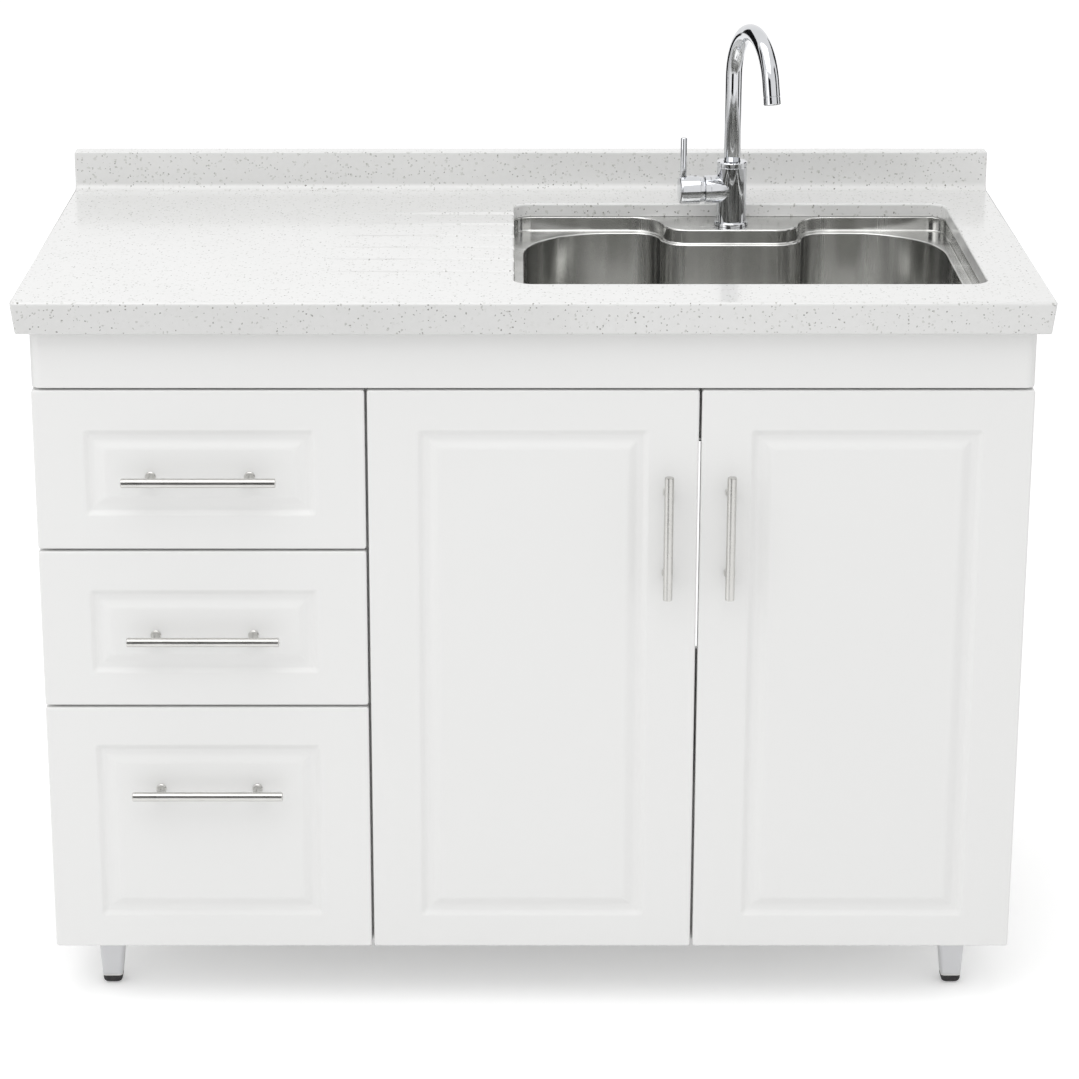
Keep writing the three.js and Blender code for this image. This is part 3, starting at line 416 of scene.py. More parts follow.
def basin_shape():
    """The sheet's upper face, from the flange down over drop wall and ledge to the bowl's floor."""
    levels = []
    edge = 2.2
    for turn in (90, 68, 45, 22, 0):
        rise = math.radians(turn)
        levels.append((DROP, edge * (1 - math.cos(rise)), FLANGE_TOP - edge * MM * (1 - math.sin(rise))))
    foot = 1.8
    for turn in (0, 30, 60, 90):
        rise = math.radians(turn)
        levels.append((DROP, -foot * (1 - math.cos(rise)), LEDGE + foot * MM * (1 - math.sin(rise))))
    for turn in (90, 60, 30, 0):
        rise = math.radians(turn)
        levels.append((BOWL, foot * (1 - math.cos(rise)), LEDGE - foot * MM * (1 - math.sin(rise))))
    floor_radius = 25
    for turn in range(0, 91, 10):
        rise = math.radians(turn)
        inset = -floor_radius * (1 - math.cos(rise))
        levels.append((BOWL, inset, BOWL_FLOOR + floor_radius * MM * (1 - math.sin(rise))))
    shape = bmesh.new()
    loops = [outline(shape, basin_ring(plan, grow, z)) for plan, grow, z in levels]
    for upper, lower in zip(loops, loops[1:]):
        bmesh.ops.bridge_loops(shape, edges=upper + lower)
    drain = outline(shape, circle_ring(BASIN_X, BASIN_Y, BOWL_FLOOR, 45 * MM))
    bmesh.ops.triangle_fill(shape, use_beauty=True, edges=loops[-1] + drain, normal=(0, 0, 1))
    rim = outline(shape, rounded_ring(**OPENING, grow=15 * MM, z=FLANGE_TOP))
    tap_hole = outline(shape, circle_ring(BASIN_X, TAP_Y, FLANGE_TOP, 17.5 * MM, 32))
    bmesh.ops.triangle_fill(shape, use_beauty=True, edges=loops[0] + rim + tap_hole, normal=(0, 0, 1))
    bmesh.ops.remove_doubles(shape, verts=shape.verts, dist=0.01 * MM)
    bmesh.ops.recalc_face_normals(shape, faces=shape.faces)
    flange = max(shape.faces, key=lambda face: face.calc_center_median().z)
    if flange.normal.z < 0:
        bmesh.ops.reverse_faces(shape, faces=shape.faces)
    return shape


# The sheet's thickness goes outwards from its upper face, and is made before the shading is evened.
basin = add_piece("basin", basin_shape(), "unit", basin_steel, ["sink"], 40, True)
wall = basin.modifiers.new("sheet", "SOLIDIFY")
wall.thickness = SHEET
wall.offset = -1
basin.modifiers.move(1, 0)


# ------------------------------------------------------------------ strainer, basket and trap
# A polished steel cup hangs by its flange in the basin's floor. A perforated basket stands in it and lifts
# out by the knob on its stem. Below, a white bottle trap is screwed to the cup's neck by a ribbed nut.


def softened(profile, ease, steps=3):
    """A closed line of millimetre points with its corners rounded, except on the axis."""
    rounded = []
    for before, corner, after in zip(profile[-1:] + profile[:-1], profile, profile[1:] + profile[:1]):
        if corner[0] == 0:
            rounded.append(corner)
            continue
        last, here, following = Vector(before), Vector(corner), Vector(after)
        reach = min(ease, (last - here).length * 0.45, (following - here).length * 0.45)
        start = here + (last - here).normalized() * reach
        end = here + (following - here).normalized() * reach
        for i in range(steps + 1):
            share = i / steps
            rounded.append(tuple(start.lerp(here, share).lerp(here.lerp(end, share), share)))
    return rounded


def turned(profile, place=(0, 0, 0), steps=64):
    """A shape turned about an upright axis from its half section: radius and height in millimetres."""
    ring = all(radius > 0 for radius, height in profile)
    shape = bmesh.new()
    corners = [shape.verts.new((radius * MM, 0, height * MM)) for radius, height in profile]
    following = corners[1:] + corners[:1] if ring else corners[1:]
    section = corners + [shape.edges.new(pair) for pair in zip(corners, following)]
    bmesh.ops.spin(shape, geom=section, axis=(0, 0, 1), steps=steps, angle=math.tau, use_merge=True)
    bmesh.ops.remove_doubles(shape, verts=shape.verts, dist=0.001 * MM)
    bmesh.ops.recalc_face_normals(shape, faces=shape.faces)
    return moved(shape, place)


def drilled(places, radius, low, high, steps=14):
    """One tool for a set of upright round holes."""
    tool = bmesh.new()
    for x, y in places:
        pin = bmesh.ops.create_cone(
            tool, cap_ends=True, segments=steps, radius1=radius, radius2=radius, depth=high - low
        )
        bmesh.ops.translate(tool, vec=(x, y, (low + high) / 2), verts=pin["verts"])
    return tool


def ribbed(radius, depth, ribs, low, high, place):
    """A gripping band of a plastic nut: rounded ribs round a ring, with its edges drawn in."""
    levels = ((low, -1.0), (low + 1, 0.0), (high - 1, 0.0), (high, -1.0))
    x, y, z = place
    rings = []
    for height, grow in levels:
        ring = []
        for i in range(ribs * 6):
            turn = math.tau * i / (ribs * 6)
            out = (radius + grow + depth * max(math.cos(turn * ribs), -0.3)) * MM
            ring.append((x + out * math.cos(turn), y + out * math.sin(turn), z + height * MM))
        rings.append(ring)
    return lofted(rings)


DRAIN = Vector((BASIN_X, BASIN_Y, BOWL_FLOOR))
CUP = [(56, 0.3), (56, 1.3), (51, 2.3), (45, 2.3), (41.5, 0.8), (41.5, -38.5), (39.5, -40.5), (21, -40.5)]
CUP += [(21, -62), (24, -62), (24, -42), (41, -42), (43, -40), (43, 0.3)]
BASKET = [(0, -40.2), (37, -40.2), (40, -37.5), (40, -14.2), (38.5, -14.2), (38.5, -37), (36, -38.7)]
BASKET += [(3, -38.7), (3, -4.7), (6, -4.7), (7, -3.6), (7, 0.6), (5.4, 2.3), (0, 2.3)]
HOLE_ROWS = ((9, 8), (16, 14), (23, 20), (30, 26))

strainer_steel = Finish("strainer_steel", (0.62, 0.62, 0.605), 0.16, metallic=1.0)
rubbed = strainer_steel.noise(1, 3, 0.3, strainer_steel.stretched((160, 160, 500)))
water_marks = strainer_steel.noise(38, 4, 0.6)
marked = strainer_steel.mixed(water_marks, (0.54, 0.54, 0.525), (0.68, 0.68, 0.665))
strainer_steel.feed("Base Color", marked)
strainer_steel.feed("Roughness", rubbed * 0.10 + water_marks * 0.12 + 0.06)
strainer_steel.bump(rubbed, 0.05, 0.1 * MM)

trap_plastic = Finish("trap_plastic", (0.80, 0.80, 0.785), 0.3, specular_ior_level=0.45)
moulded = trap_plastic.noise(320, 2)
handled = trap_plastic.noise(14, 3)
trap_plastic.feed("Base Color", trap_plastic.mixed(handled, (0.76, 0.76, 0.74), (0.84, 0.84, 0.83)))
trap_plastic.feed("Roughness", handled * 0.15 + 0.22)
trap_plastic.bump(moulded, 0.06, 0.2 * MM)

cup = turned(softened(CUP, 0.6), DRAIN, 96)
add_piece("strainer_cup", cup, "unit", strainer_steel, ["strainer_body"])

hole_places = [
    (DRAIN.x + row * MM * math.cos(math.tau * i / count), DRAIN.y + row * MM * math.sin(math.tau * i / count))
    for row, count in HOLE_ROWS
    for i in range(count)
]
floor_holes = drilled(hole_places, 1.9 * MM, DRAIN.z - 44 * MM, DRAIN.z - 36 * MM)
SLOT_COUNT = 12
SLOT_SIZE = (90 * MM, 2.4 * MM, 11 * MM)
SLOT_MIDDLE = (72 * MM, 0, -24 * MM)
wall_slots = bmesh.new()
for spoke in range(SLOT_COUNT):
    bar = bmesh.ops.create_cube(wall_slots, size=1.0)["verts"]
    way = Matrix.Rotation(math.tau * (spoke + 0.5) / SLOT_COUNT, 3, "Z")
    bmesh.ops.scale(wall_slots, vec=SLOT_SIZE, verts=bar)
    bmesh.ops.translate(wall_slots, vec=SLOT_MIDDLE, verts=bar)
    bmesh.ops.rotate(wall_slots, matrix=way, verts=bar)
moved(wall_slots, DRAIN)
basket = worked(turned(softened(BASKET, 0.5), DRAIN, 72), [floor_holes, wall_slots])
add_piece("strainer_basket_cup", basket, "basket", strainer_steel, ["strainer_basket"])

BOTTLE_TOP = -157.3
bottle_profile = [(0, BOTTLE_TOP - 110), (24, BOTTLE_TOP - 110), (31, BOTTLE_TOP - 104)]
bottle_profile += [(33, BOTTLE_TOP - 62), (33, BOTTLE_TOP - 8), (27, BOTTLE_TOP), (19, BOTTLE_TOP)]
bottle_profile += [(19, -79), (24.5, -78.3), (24.5, -62.3), (16, -62.3)]
bottle_profile += [(16, BOTTLE_TOP - 28), (0, BOTTLE_TOP - 28)]
OUTLET = DRAIN + Vector((0, 0, (BOTTLE_TOP - 28 - 19) * MM))
outlet = turned([(0, 30), (19, 30), (19, 305), (16, 305), (16, 265), (0, 265)], (0, 0, 0), 48)
outlet_nut = ribbed(23, 0.9, 18, 40, 62, (0, 0, 0))
for along in (outlet, outlet_nut):
    moved(rotated(along, -math.pi / 2, "X"), OUTLET)
grips = [
    ribbed(25.6, 0.9, 20, -78.1, -62.7, DRAIN),
    ribbed(23, 0.9, 18, BOTTLE_TOP + 0.5, BOTTLE_TOP + 18, DRAIN),
    ribbed(34.1, 0.9, 24, BOTTLE_TOP - 61, BOTTLE_TOP - 49, DRAIN),
]
bore = turned([(0, -170), (15.8, -170), (15.8, -60), (0, -60)], DRAIN, 48)
trap = worked(turned(softened(bottle_profile, 1.2), DRAIN, 72), [outlet, outlet_nut, *grips], "UNION")
trap = worked(trap, [bore])
add_piece("bottle_trap", trap, "unit", trap_plastic, ["drain_trap"], sharp=42)


# ------------------------------------------------------------------ carcass
# The carcass is laminated chipboard, 15 mm thick, dowelled and screwed, with edging tape on every board that
# shows. Rows of shelf-pin holes are drilled in the cupboard's sides, and the back has a hole for the pipes.

BOARDS = ("left_side_panel", "right_side_panel", "bottom_panel", "partition_panel", "back_panel")

board = Finish("carcass_board", (0.78, 0.78, 0.77), 0.45, specular_ior_level=0.4)
pearl = board.noise(900, 2)
faint = board.noise(5, 3)
board.feed("Base Color", board.mixed(faint * 0.7 + pearl * 0.3, (0.745, 0.745, 0.735), (0.805, 0.805, 0.795)))
board.feed("Roughness", faint * 0.12 + pearl * 0.06 + 0.36)
board.bump(pearl, 0.10, 0.12 * MM)


def span(node):
    """A node's limits along each axis."""
    low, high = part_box(node)
    return (low.x, high.x), (low.y, high.y), (low.z, high.z)


PIN_ROWS = (-215 * MM, 245 * MM)
PIN_COUNT = 13
PIN_START = 210
PIN_PITCH = 32


def pin_holes(x_limits):
    """Two upright rows of shelf-pin holes through the limits along X, made as one tool."""
    tool = bmesh.new()
    start, end = x_limits
    for y in PIN_ROWS:
        for step in range(PIN_COUNT):
            pin = bmesh.ops.create_cone(
                tool, cap_ends=True, segments=14, radius1=2.5 * MM, radius2=2.5 * MM, depth=end - start
            )["verts"]
            bmesh.ops.rotate(tool, matrix=Matrix.Rotation(math.pi / 2, 3, "Y"), verts=pin)
            z = (PIN_START + PIN_PITCH * step) * MM
            bmesh.ops.translate(tool, vec=((start + end) / 2, y, z), verts=pin)
    return tool


def screw_caps(x, outward):
    """Four thin caps over the screws in the outside of a side panel."""
    caps = []
    for y, z in ((-200, 88), (180, 88), (-200, 840), (180, 840)):
        cap = turned([(0, 0), (6.2, 0), (5.6, 0.5), (3, 0.8), (0, 0.9)], steps=28)
        caps.append(moved(rotated(cap, outward * math.pi / 2, "Y"), (x, y * MM, z * MM)))
    return caps


service_hole = block((106 * MM, 406 * MM), (270 * MM, 310 * MM), (250 * MM, 550 * MM), 6 * MM, 3)
cuts = {
    "right_side_panel": [pin_holes((560 * MM, 574 * MM))],
    "partition_panel": [pin_holes((-194 * MM, -180 * MM))],
    "back_panel": [service_hole],
}
joins = {
    "left_side_panel": screw_caps(-583 * MM, -1),
    "right_side_panel": screw_caps(583 * MM, 1),
}
for name in BOARDS:
    shape = block(*span(name), 0.6 * MM)
    if name in joins:
        shape = worked(shape, joins[name], "UNION")
    if name in cuts:
        shape = worked(shape, cuts[name])
    add_piece(name + "_board", shape, "unit", board, [name], even=True)


# ------------------------------------------------------------------ fascia
# The strip between worktop and fronts is foil-wrapped fibreboard like the fronts, with rounded ends that
# sweep back to the side panels. It covers the basin's depth and doesn't move.

foil = Finish("front_foil", (0.83, 0.83, 0.822), 0.38, specular_ior_level=0.42)
peel = foil.noise(650, 2)
cast = foil.noise(3.2, 2)
foil.feed("Base Color", foil.mixed(cast * 0.6 + peel * 0.4, (0.815, 0.815, 0.807), (0.845, 0.845, 0.838)))
foil.feed("Roughness", cast * 0.10 + peel * 0.08 + 0.29)
foil.bump(peel, 0.05, 0.15 * MM)


def fascia_shape():
    (left, right), (front, back), (bottom, top) = span("front_fascia")
    radius = 12 * MM
    plan = arc(left + radius, front + radius, radius, 180, 270, 10)
    plan += arc(right - radius, front + radius, radius, 270, 360, 10)
    plan += [(right, back), (left, back)]
    shape = lofted([[(x, y, z) for x, y in plan] for z in (bottom, top)])
    corners = [e for e in shape.edges if e.calc_face_angle() > math.radians(70)]
    ease = 0.8 * MM
    bmesh.ops.bevel(shape, geom=corners, offset=ease, segments=3, profile=0.5, affect="EDGES", material=-1)
    return shape


add_piece("fascia", fascia_shape(), "unit", foil, ["front_fascia"], even=True)


# ------------------------------------------------------------------ legs
# Four short legs of light grey plastic narrow towards the floor. Each is screwed on through a flange, and
# stands on a black rubber cap below a thin white collar.

leg_plastic = Finish("leg_plastic", (0.74, 0.745, 0.76), 0.36, specular_ior_level=0.45)
grained = leg_plastic.noise(420, 3)
drift = leg_plastic.noise(26, 2)
leg_plastic.feed("Base Color", leg_plastic.mixed(drift, (0.71, 0.715, 0.73), (0.78, 0.785, 0.80)))
leg_plastic.feed("Roughness", grained * 0.16 + 0.27)
leg_plastic.bump(grained, 0.08, 0.2 * MM)

foot_rubber = Finish("foot_rubber", (0.021, 0.020, 0.022), 0.6)
scuffed = foot_rubber.noise(170, 4)
dust = foot_rubber.ramp(scuffed, 0.45, 0.75)
foot_rubber.feed("Base Color", foot_rubber.mixed(dust, (0.016, 0.015, 0.017), (0.06, 0.058, 0.056)))
foot_rubber.feed("Roughness", scuffed * 0.3 + 0.42)
foot_rubber.bump(scuffed, 0.2, 0.3 * MM)


def squared(middle, half, radius, z, steps=6):
    x, y = middle
    return rounded_ring(x - half, x + half, y - half, y + half, radius, 0.0, z, steps)


LEG_X = {"left": -522 * MM, "right": 522 * MM}
LEG_Y = {"front": -207 * MM, "back": 247 * MM}


def leg_shape(top_middle, foot_middle, high, low):
    """A leg from its share of the height, half width and corner radius at each level."""
    levels = ((1.0, 17.2, 5.0), (0.993, 18.0, 5.0), (0.955, 18.0, 5.0), (0.94, 17.3, 5.0))
    levels += ((0.90, 16.9, 5.0), (0.05, 12.7, 4.0), (0.02, 12.5, 4.0), (0.0, 11.9, 4.0))
    rings = []
    for share, half, radius in levels:
        middle = foot_middle.lerp(top_middle, share)
        rings.append(squared(middle, half * MM, radius * MM, low + (high - low) * share))
    return lofted(rings)


def foot_shape(middle):
    levels = ((0.0, 6.5, 4.0), (0.35, 8.4, 4.6), (1.2, 9.9, 5.0), (2.6, 11.0, 5.0), (4.4, 11.6, 5.0))
    levels += ((6.0, 11.9, 5.0), (9.8, 12.0, 4.5), (10.2, 11.2, 4.2))
    return lofted([squared(middle, half * MM, radius * MM, z * MM) for z, half, radius in levels])


for corner in ("front_left", "front_right", "back_left", "back_right"):
    row, hand = corner.split("_")
    low, high = span(corner + "_leg")[2]
    cap_x, cap_y = span(corner + "_foot_cap")[:2]
    foot_middle = Vector((sum(cap_x) / 2, sum(cap_y) / 2))
    top_middle = Vector((LEG_X[hand], LEG_Y[row]))
    leg = leg_shape(top_middle, foot_middle, high, low + 0.2 * MM)
    add_piece(corner + "_leg_tube", leg, "unit", leg_plastic, [corner + "_leg"], even=True)
    foot = foot_shape(foot_middle)
    add_piece(corner + "_foot", foot, "unit", foot_rubber, [corner + "_foot_cap"], even=True)
    levels = ((10.25, 12), (10.6, 12.4), (12.1, 12.4), (12.4, 12))
    ring = lofted([squared(foot_middle, half * MM, 4 * MM, z * MM) for z, half in levels])
    add_piece(corner + "_collar", ring, "unit", trap_plastic)


# ------------------------------------------------------------------ drawer fronts and doors
# Each front is 18 mm fibreboard with a routed groove that sets off a flat field, wrapped in off-white foil
# that rounds every edge. The doors are drilled at the back for the hinge cups.

GROOVE = 4.5
FRAME_SIDE = 57
FRAME_FOOT = 40
FRAME_HEAD = 47
CUP_BACK = -269 * MM


def upright_ring(left, right, bottom, top, radius, y, steps=4):
    """A rectangle with rounded corners in a front's own plane, at depth y."""
    return [(x, y, z) for x, z, level in rounded_ring(left, right, bottom, top, radius, 0.0, 0.0, steps)]


def front_shape(node, pockets=()):
    """A front through rings from its back edge round its face, down into the groove and up to the field."""
    (left, right), (face, back), (bottom, top) = span(node)

    def level(inset, depth, radius):
        limits = (left + inset * MM, right - inset * MM, bottom + inset * MM, top - inset * MM)
        return upright_ring(*limits, radius * MM, face + depth * MM)

    def field(inset, depth, radius):
        limits = (left + (FRAME_SIDE + inset) * MM, right - (FRAME_SIDE + inset) * MM)
        limits += (bottom + (FRAME_FOOT + inset) * MM, top - (FRAME_HEAD + inset) * MM)
        return upright_ring(*limits, radius * MM, face + depth * MM)

    thickness = (back - face) / MM
    rings = [level(0.7, thickness, 2.4), level(0.0, thickness - 0.7, 3.0)]
    soft = 2.6
    for turn in (0, 18, 36, 54, 72, 90):
        rise = math.radians(turn)
        rings.append(level(soft * (1 - math.cos(rise)), soft * (1 - math.sin(rise)), 3.0))
    lip = 0.02
    for step in range(8):
        share = step / 7
        depth = lip + (GROOVE - 2 * lip) * (1 - math.cos(math.pi * share)) / 2
        rings.append(field(9 * share, depth, 4.5 - 2.5 * share))
    for step in range(10):
        share = step / 9
        depth = GROOVE * (1 + math.cos(math.pi * share)) / 2
        rings.append(field(12 + 15 * share, depth, 2.0 + 1.5 * share))
    shape = lofted(rings)
    return worked(shape, pockets) if pockets else shape


def hinge_pocket(x, z):
    pocket = turned([(0, 0), (17.5, 0), (17.5, 14), (0, 14)], steps=48)
    return moved(rotated(pocket, -math.pi / 2, "X"), (x * MM, CUP_BACK, z * MM))


DRAWERS = ("drawer_1", "drawer_2", "drawer_3")
HINGE_HEIGHTS = (178, 689)
DOORS = {"left_door": ("left_door_leaf", -169.33), "right_door": ("right_door_leaf", 559)}

for drawer in DRAWERS:
    node = drawer + "_front"
    add_piece(drawer + "_panel", front_shape(node), drawer, foil, [node], 24, True)
for door, (leaf, cup_x) in DOORS.items():
    pockets = [hinge_pocket(cup_x, z) for z in HINGE_HEIGHTS]
    add_piece(door + "_panel", front_shape(door, pockets), leaf, foil, [door], 24, True)


# ------------------------------------------------------------------ handles
# A solid bar of satin-ground steel stands off each front on two round posts, which are screwed through from
# the back and seat on the foil with a small foot.

handle_steel = Finish("handle_steel", (0.60, 0.595, 0.575), 0.28, metallic=1.0)
ground_rings = handle_steel.noise(1, 3, 0.0, handle_steel.stretched((26, 1400, 1400)))
fingered = handle_steel.noise(30, 3, 0.4)
handle_steel.feed("Base Color", handle_steel.mixed(fingered, (0.55, 0.545, 0.525), (0.67, 0.665, 0.645)))
handle_steel.feed("Roughness", ground_rings * 0.16 + fingered * 0.10 + 0.16)
handle_steel.bump(ground_rings, 0.08, 0.1 * MM)


def handle_shape(middle, length, spacing, upright):
    """A bar handle from its sizes in millimetres, about its middle on the front's face."""
    half = length / 2
    section = [(0, -half), (4.5, -half), (5.3, -half + 0.5), (5.5, -half + 1.4)]
    section += [(5.5, half - 1.4), (5.3, half - 0.5), (4.5, half), (0, half)]
    bar = moved(rotated(turned(section, steps=40), math.pi / 2, "Y"), (0, -24.5 * MM, 0))
    foot = [(0, 0.3), (6.4, 0.3), (6.4, 1.3), (5.6, 2.0), (4.9, 3.0), (4.5, 5.0), (4.5, 24.5), (0, 24.5)]
    posts = []
    for side in (-1, 1):
        post = rotated(turned(foot, steps=32), math.pi / 2, "X")
        posts.append(moved(post, (side * spacing / 2 * MM, 0, 0)))
    shape = worked(bar, posts, "UNION")
    if upright:
        rotated(shape, math.pi / 2, "Y")
    return moved(shape, middle)


def handle_middle(node):
    x, y, z = span(node)
    return Vector((sum(x) / 2, span("drawer_1_front")[1][0], sum(z) / 2))


for drawer in DRAWERS:
    node = drawer + "_handle"
    bar = handle_shape(handle_middle(node), 180, 116, False)
    add_piece(drawer + "_bar_handle", bar, drawer, handle_steel, [node], even=True)
for door, (leaf, cup_x) in DOORS.items():
    node = door + "_handle"
    bar = handle_shape(handle_middle(node), 152, 100, True)
    add_piece(door + "_bar_handle", bar, leaf, handle_steel, [node], even=True)


# ------------------------------------------------------------------ drawer boxes and runners
# A drawer's sides are folded from powder-coated steel, with a ledge under the bottom board and a tongue that
# runs in a channel screwed to the carcass. The bottom and the back are laminated board.

runner_steel = Finish("runner_steel", (0.66, 0.67, 0.68), 0.42, metallic=0.35)
powder = runner_steel.noise(800, 2)
rubbed_track = runner_steel.noise(1, 3, 0.2, runner_steel.stretched((60, 3, 60)))
painted_streaks_and_wear = runner_steel.ramp(rubbed_track, 0.5, 0.8)
runner_steel.feed("Base Color", runner_steel.mixed(painted_streaks_and_wear, (0.64, 0.65, 0.66), (0.74, 0.745, 0.75)))
runner_steel.feed("Roughness", powder * 0.15 + 0.32)
runner_steel.bump(powder, 0.12, 0.15 * MM)


def pulled(section, front, back):
    """A folded strip: a section in millimetres, across and up, pulled from front to back."""
    return lofted([[(x * MM, y, z * MM) for x, z in section] for y in (front, back)])


for drawer in DRAWERS:
    for hand, side in (("left", -1), ("right", 1)):
        node = f"{drawer}_side_{hand}"
        (left, right), (front, back), (low, high) = span(node)
        tongue_out = right / MM if side > 0 else -left / MM
        foot = (left if side > 0 else -right) / MM
        wall_in = foot + 12
        wall_out = wall_in + 3
        z = low / MM
        top = high / MM
        profile = [(foot, z), (wall_out, z), (wall_out, z + 34), (tongue_out, z + 34), (tongue_out, z + 38)]
        profile += [(wall_out, z + 38), (wall_out, top), (wall_in, top), (wall_in, z + 3), (foot, z + 3)]
        section = [(side * x, level) for x, level in softened(profile, 0.9)]
        strip = pulled(section, front, back)
        add_piece(f"{node}_strip", strip, drawer, runner_steel, [node], even=True)
    for part in ("bottom", "back"):
        node = f"{drawer}_{part}"
        plank = block(*span(node), 0.6 * MM)
        add_piece(f"{node}_board", plank, drawer, board, [node], even=True)

for number in (1, 2, 3):
    for hand, side in (("left", -1), ("right", 1)):
        node = f"runner_{number}_{hand}"
        (left, right), (front, back), (low, high) = span(node)
        open_x, wall_x = (left / MM, right / MM) if side > 0 else (-right / MM, -left / MM)
        bottom = low / MM
        top = high / MM
        profile = [(open_x, bottom), (wall_x, bottom), (wall_x, top), (open_x, top), (open_x, top - 2)]
        profile += [(wall_x - 2, top - 2), (wall_x - 2, bottom + 2), (open_x, bottom + 2)]
        section = [(side * x, z) for x, z in softened(profile, 0.7)]
        channel = pulled(section, front, back)
        add_piece(f"{node}_channel", channel, "unit", runner_steel, [node], even=True)


# ------------------------------------------------------------------ hinges
# Each door hangs on two concealed hinges of nickel-plated steel: a pressed cup let into the door, and an arm
# that bridges from the carcass to the cup, held and adjusted by cross-head screws.

hinge_steel = Finish("hinge_steel", (0.60, 0.60, 0.585), 0.24, metallic=1.0)
plated = hinge_steel.noise(60, 3, 0.3)
pressed = hinge_steel.noise(500, 2)
hinge_steel.feed("Base Color", hinge_steel.mixed(plated, (0.54, 0.54, 0.525), (0.67, 0.67, 0.655)))
hinge_steel.feed("Roughness", plated * 0.18 + pressed * 0.06 + 0.12)
hinge_steel.bump(pressed, 0.06, 0.1 * MM)


def screw_head(place, turn):
    """A small cross-head screw and the tool for its slot, made upright and turned about Y."""
    head = turned([(0, 0), (3.6, 0), (3.4, 0.7), (2.4, 1.3), (0, 1.5)], steps=20)
    arm, half = 2.1 * MM, 0.4 * MM
    quarter = ((arm, -half), (arm, half), (half, half))
    ways = ((1, 0), (0, 1), (-1, 0), (0, -1))
    cross = [(a * c - b * s, a * s + b * c) for c, s in ways for a, b in quarter]
    slot = lofted([[(x, y, z) for x, y in cross] for z in (0.8 * MM, 2.4 * MM)])
    return [moved(rotated(shape, turn, "Y"), place) for shape in (head, slot)]


def hinge_arm(wall, inward, reach, height):
    """An arm from its board's face inwards: a nose for the cup, a bridge, a channel and its screwed plate."""
    bars = (
        ((reach - 11 * MM, reach), (-266.9, -246), 7, 0.8),
        ((0.8 * MM, reach - 0.3 * MM), (-254.3, -243.3), 8.5, 0.8),
        ((0.4 * MM, 12 * MM), (-254.7, -197), 9, 1.2),
        ((0, 4 * MM), (-235, -195), 25, 1.5),
    )
    shapes = []
    for depth, along, half, ease in bars:
        x = sorted(wall + inward * d for d in depth)
        y = [limit * MM for limit in along]
        shapes.append(block(x, y, (height - half * MM, height + half * MM), ease * MM, 3))
    turn = inward * math.pi / 2
    places = ((11.8, -236, 0), (11.8, -212, 0), (3.8, -215, 18), (3.8, -215, -18))
    screws = [screw_head((wall + inward * u * MM, y * MM, height + z * MM), turn) for u, y, z in places]
    heads, slots = zip(*screws)
    return worked(worked(shapes[0], [*shapes[1:], *heads], "UNION"), slots)


CUP_SECTION = [(0, 0.3), (17.2, 0.3), (17.2, 12), (15.7, 12), (15.7, 1.8), (0, 1.8)]
for door, (leaf, cup_x) in DOORS.items():
    for level, height in zip(("lower", "upper"), HINGE_HEIGHTS):
        node = f"{door}_hinge_cup_{level}"
        shape = rotated(turned(softened(CUP_SECTION, 0.8), steps=56), -math.pi / 2, "X")
        moved(shape, (cup_x * MM, CUP_BACK, height * MM))
        add_piece(f"{node}_pressing", shape, leaf, hinge_steel, [node], even=True)
        node = f"{door}_hinge_arm_{level}"
        left, right = span(node)[0]
        wall, inward = (left, 1) if door == "left_door" else (right, -1)
        arm = hinge_arm(wall, inward, right - left, height * MM)
        add_piece(f"{node}_arm", arm, "unit", hinge_steel, [node], even=True)


# ------------------------------------------------------------------ tap
# The tap is chrome-plated brass. A turned body stands on the deck and carries a side cartridge, whose lever
# is a hollow cap with a pin screwed into it. The spout is one bent tube that swivels in the body's socket.

TAP = Vector((BASIN_X, TAP_Y, UNDERSIDE))
CARTRIDGE_HEIGHT = 46
CARTRIDGE_TURN = 6
SPOUT_TURN = 16
SPOUT_ARCH = 67
SPOUT_SPRING = 191.25
SPOUT_SWEEP = math.radians(165)
PIN_ALONG = -62.5 * MM

chrome = Finish("tap_chrome", (0.66, 0.67, 0.69), 0.05, metallic=1.0)
wiped = chrome.noise(24, 4, 0.5)
dulled = chrome.ramp(wiped, 0.42, 0.72)
chrome.feed("Base Color", chrome.mixed(dulled, (0.68, 0.69, 0.71), (0.61, 0.62, 0.64)))
chrome.feed("Roughness", dulled * 0.07 + 0.035)
chrome.bump(chrome.noise(70, 2), 0.02, 0.1 * MM)


def out_of_side(shape):
    """Lays a shape that was made upright along the cartridge's axis."""
    rotated(shape, -math.pi / 2, "Y")
    return on_tap(moved(shape, (0, 0, CARTRIDGE_HEIGHT * MM)), CARTRIDGE_TURN)


def on_tap(shape, turn):
    """Turns a shape about the tap's axis and sets it on the deck."""
    return moved(rotated(shape, math.radians(turn), "Z"), TAP)


BODY = [(0, -45), (16.5, -45), (16.5, 0), (21.7, 0), (21.7, 3.4), (20.9, 4.6), (19.4, 5), (19, 5.8)]
BODY += [(19, 75.6), (18.6, 76), (18.6, 76.6), (19, 77), (19, 81.6), (18.2, 82.5), (11.05, 82.5)]
BODY += [(11.05, 52.5), (0, 52.5)]
HOUSING = [(0, 0), (18, 0), (18, 27.6), (17.6, 28), (17.6, 28.6), (18, 29), (18, 34.8)]
HOUSING += [(17.3, 35.5), (0, 35.5)]
STEM = [(0, 20.8), (9.7, 20.8), (9.7, 35.8), *arc(0, 42, 16.4, -22.2, 80, 14), (0, 58.4)]
CAP = [(0, 59.3), (17, 59.3), (17, 42), (17.6, 42), (18, 42.4), (18, 64.6), (17.6, 66.2)]
CAP += [(16.6, 67.4), (15, 68), (0, 68)]

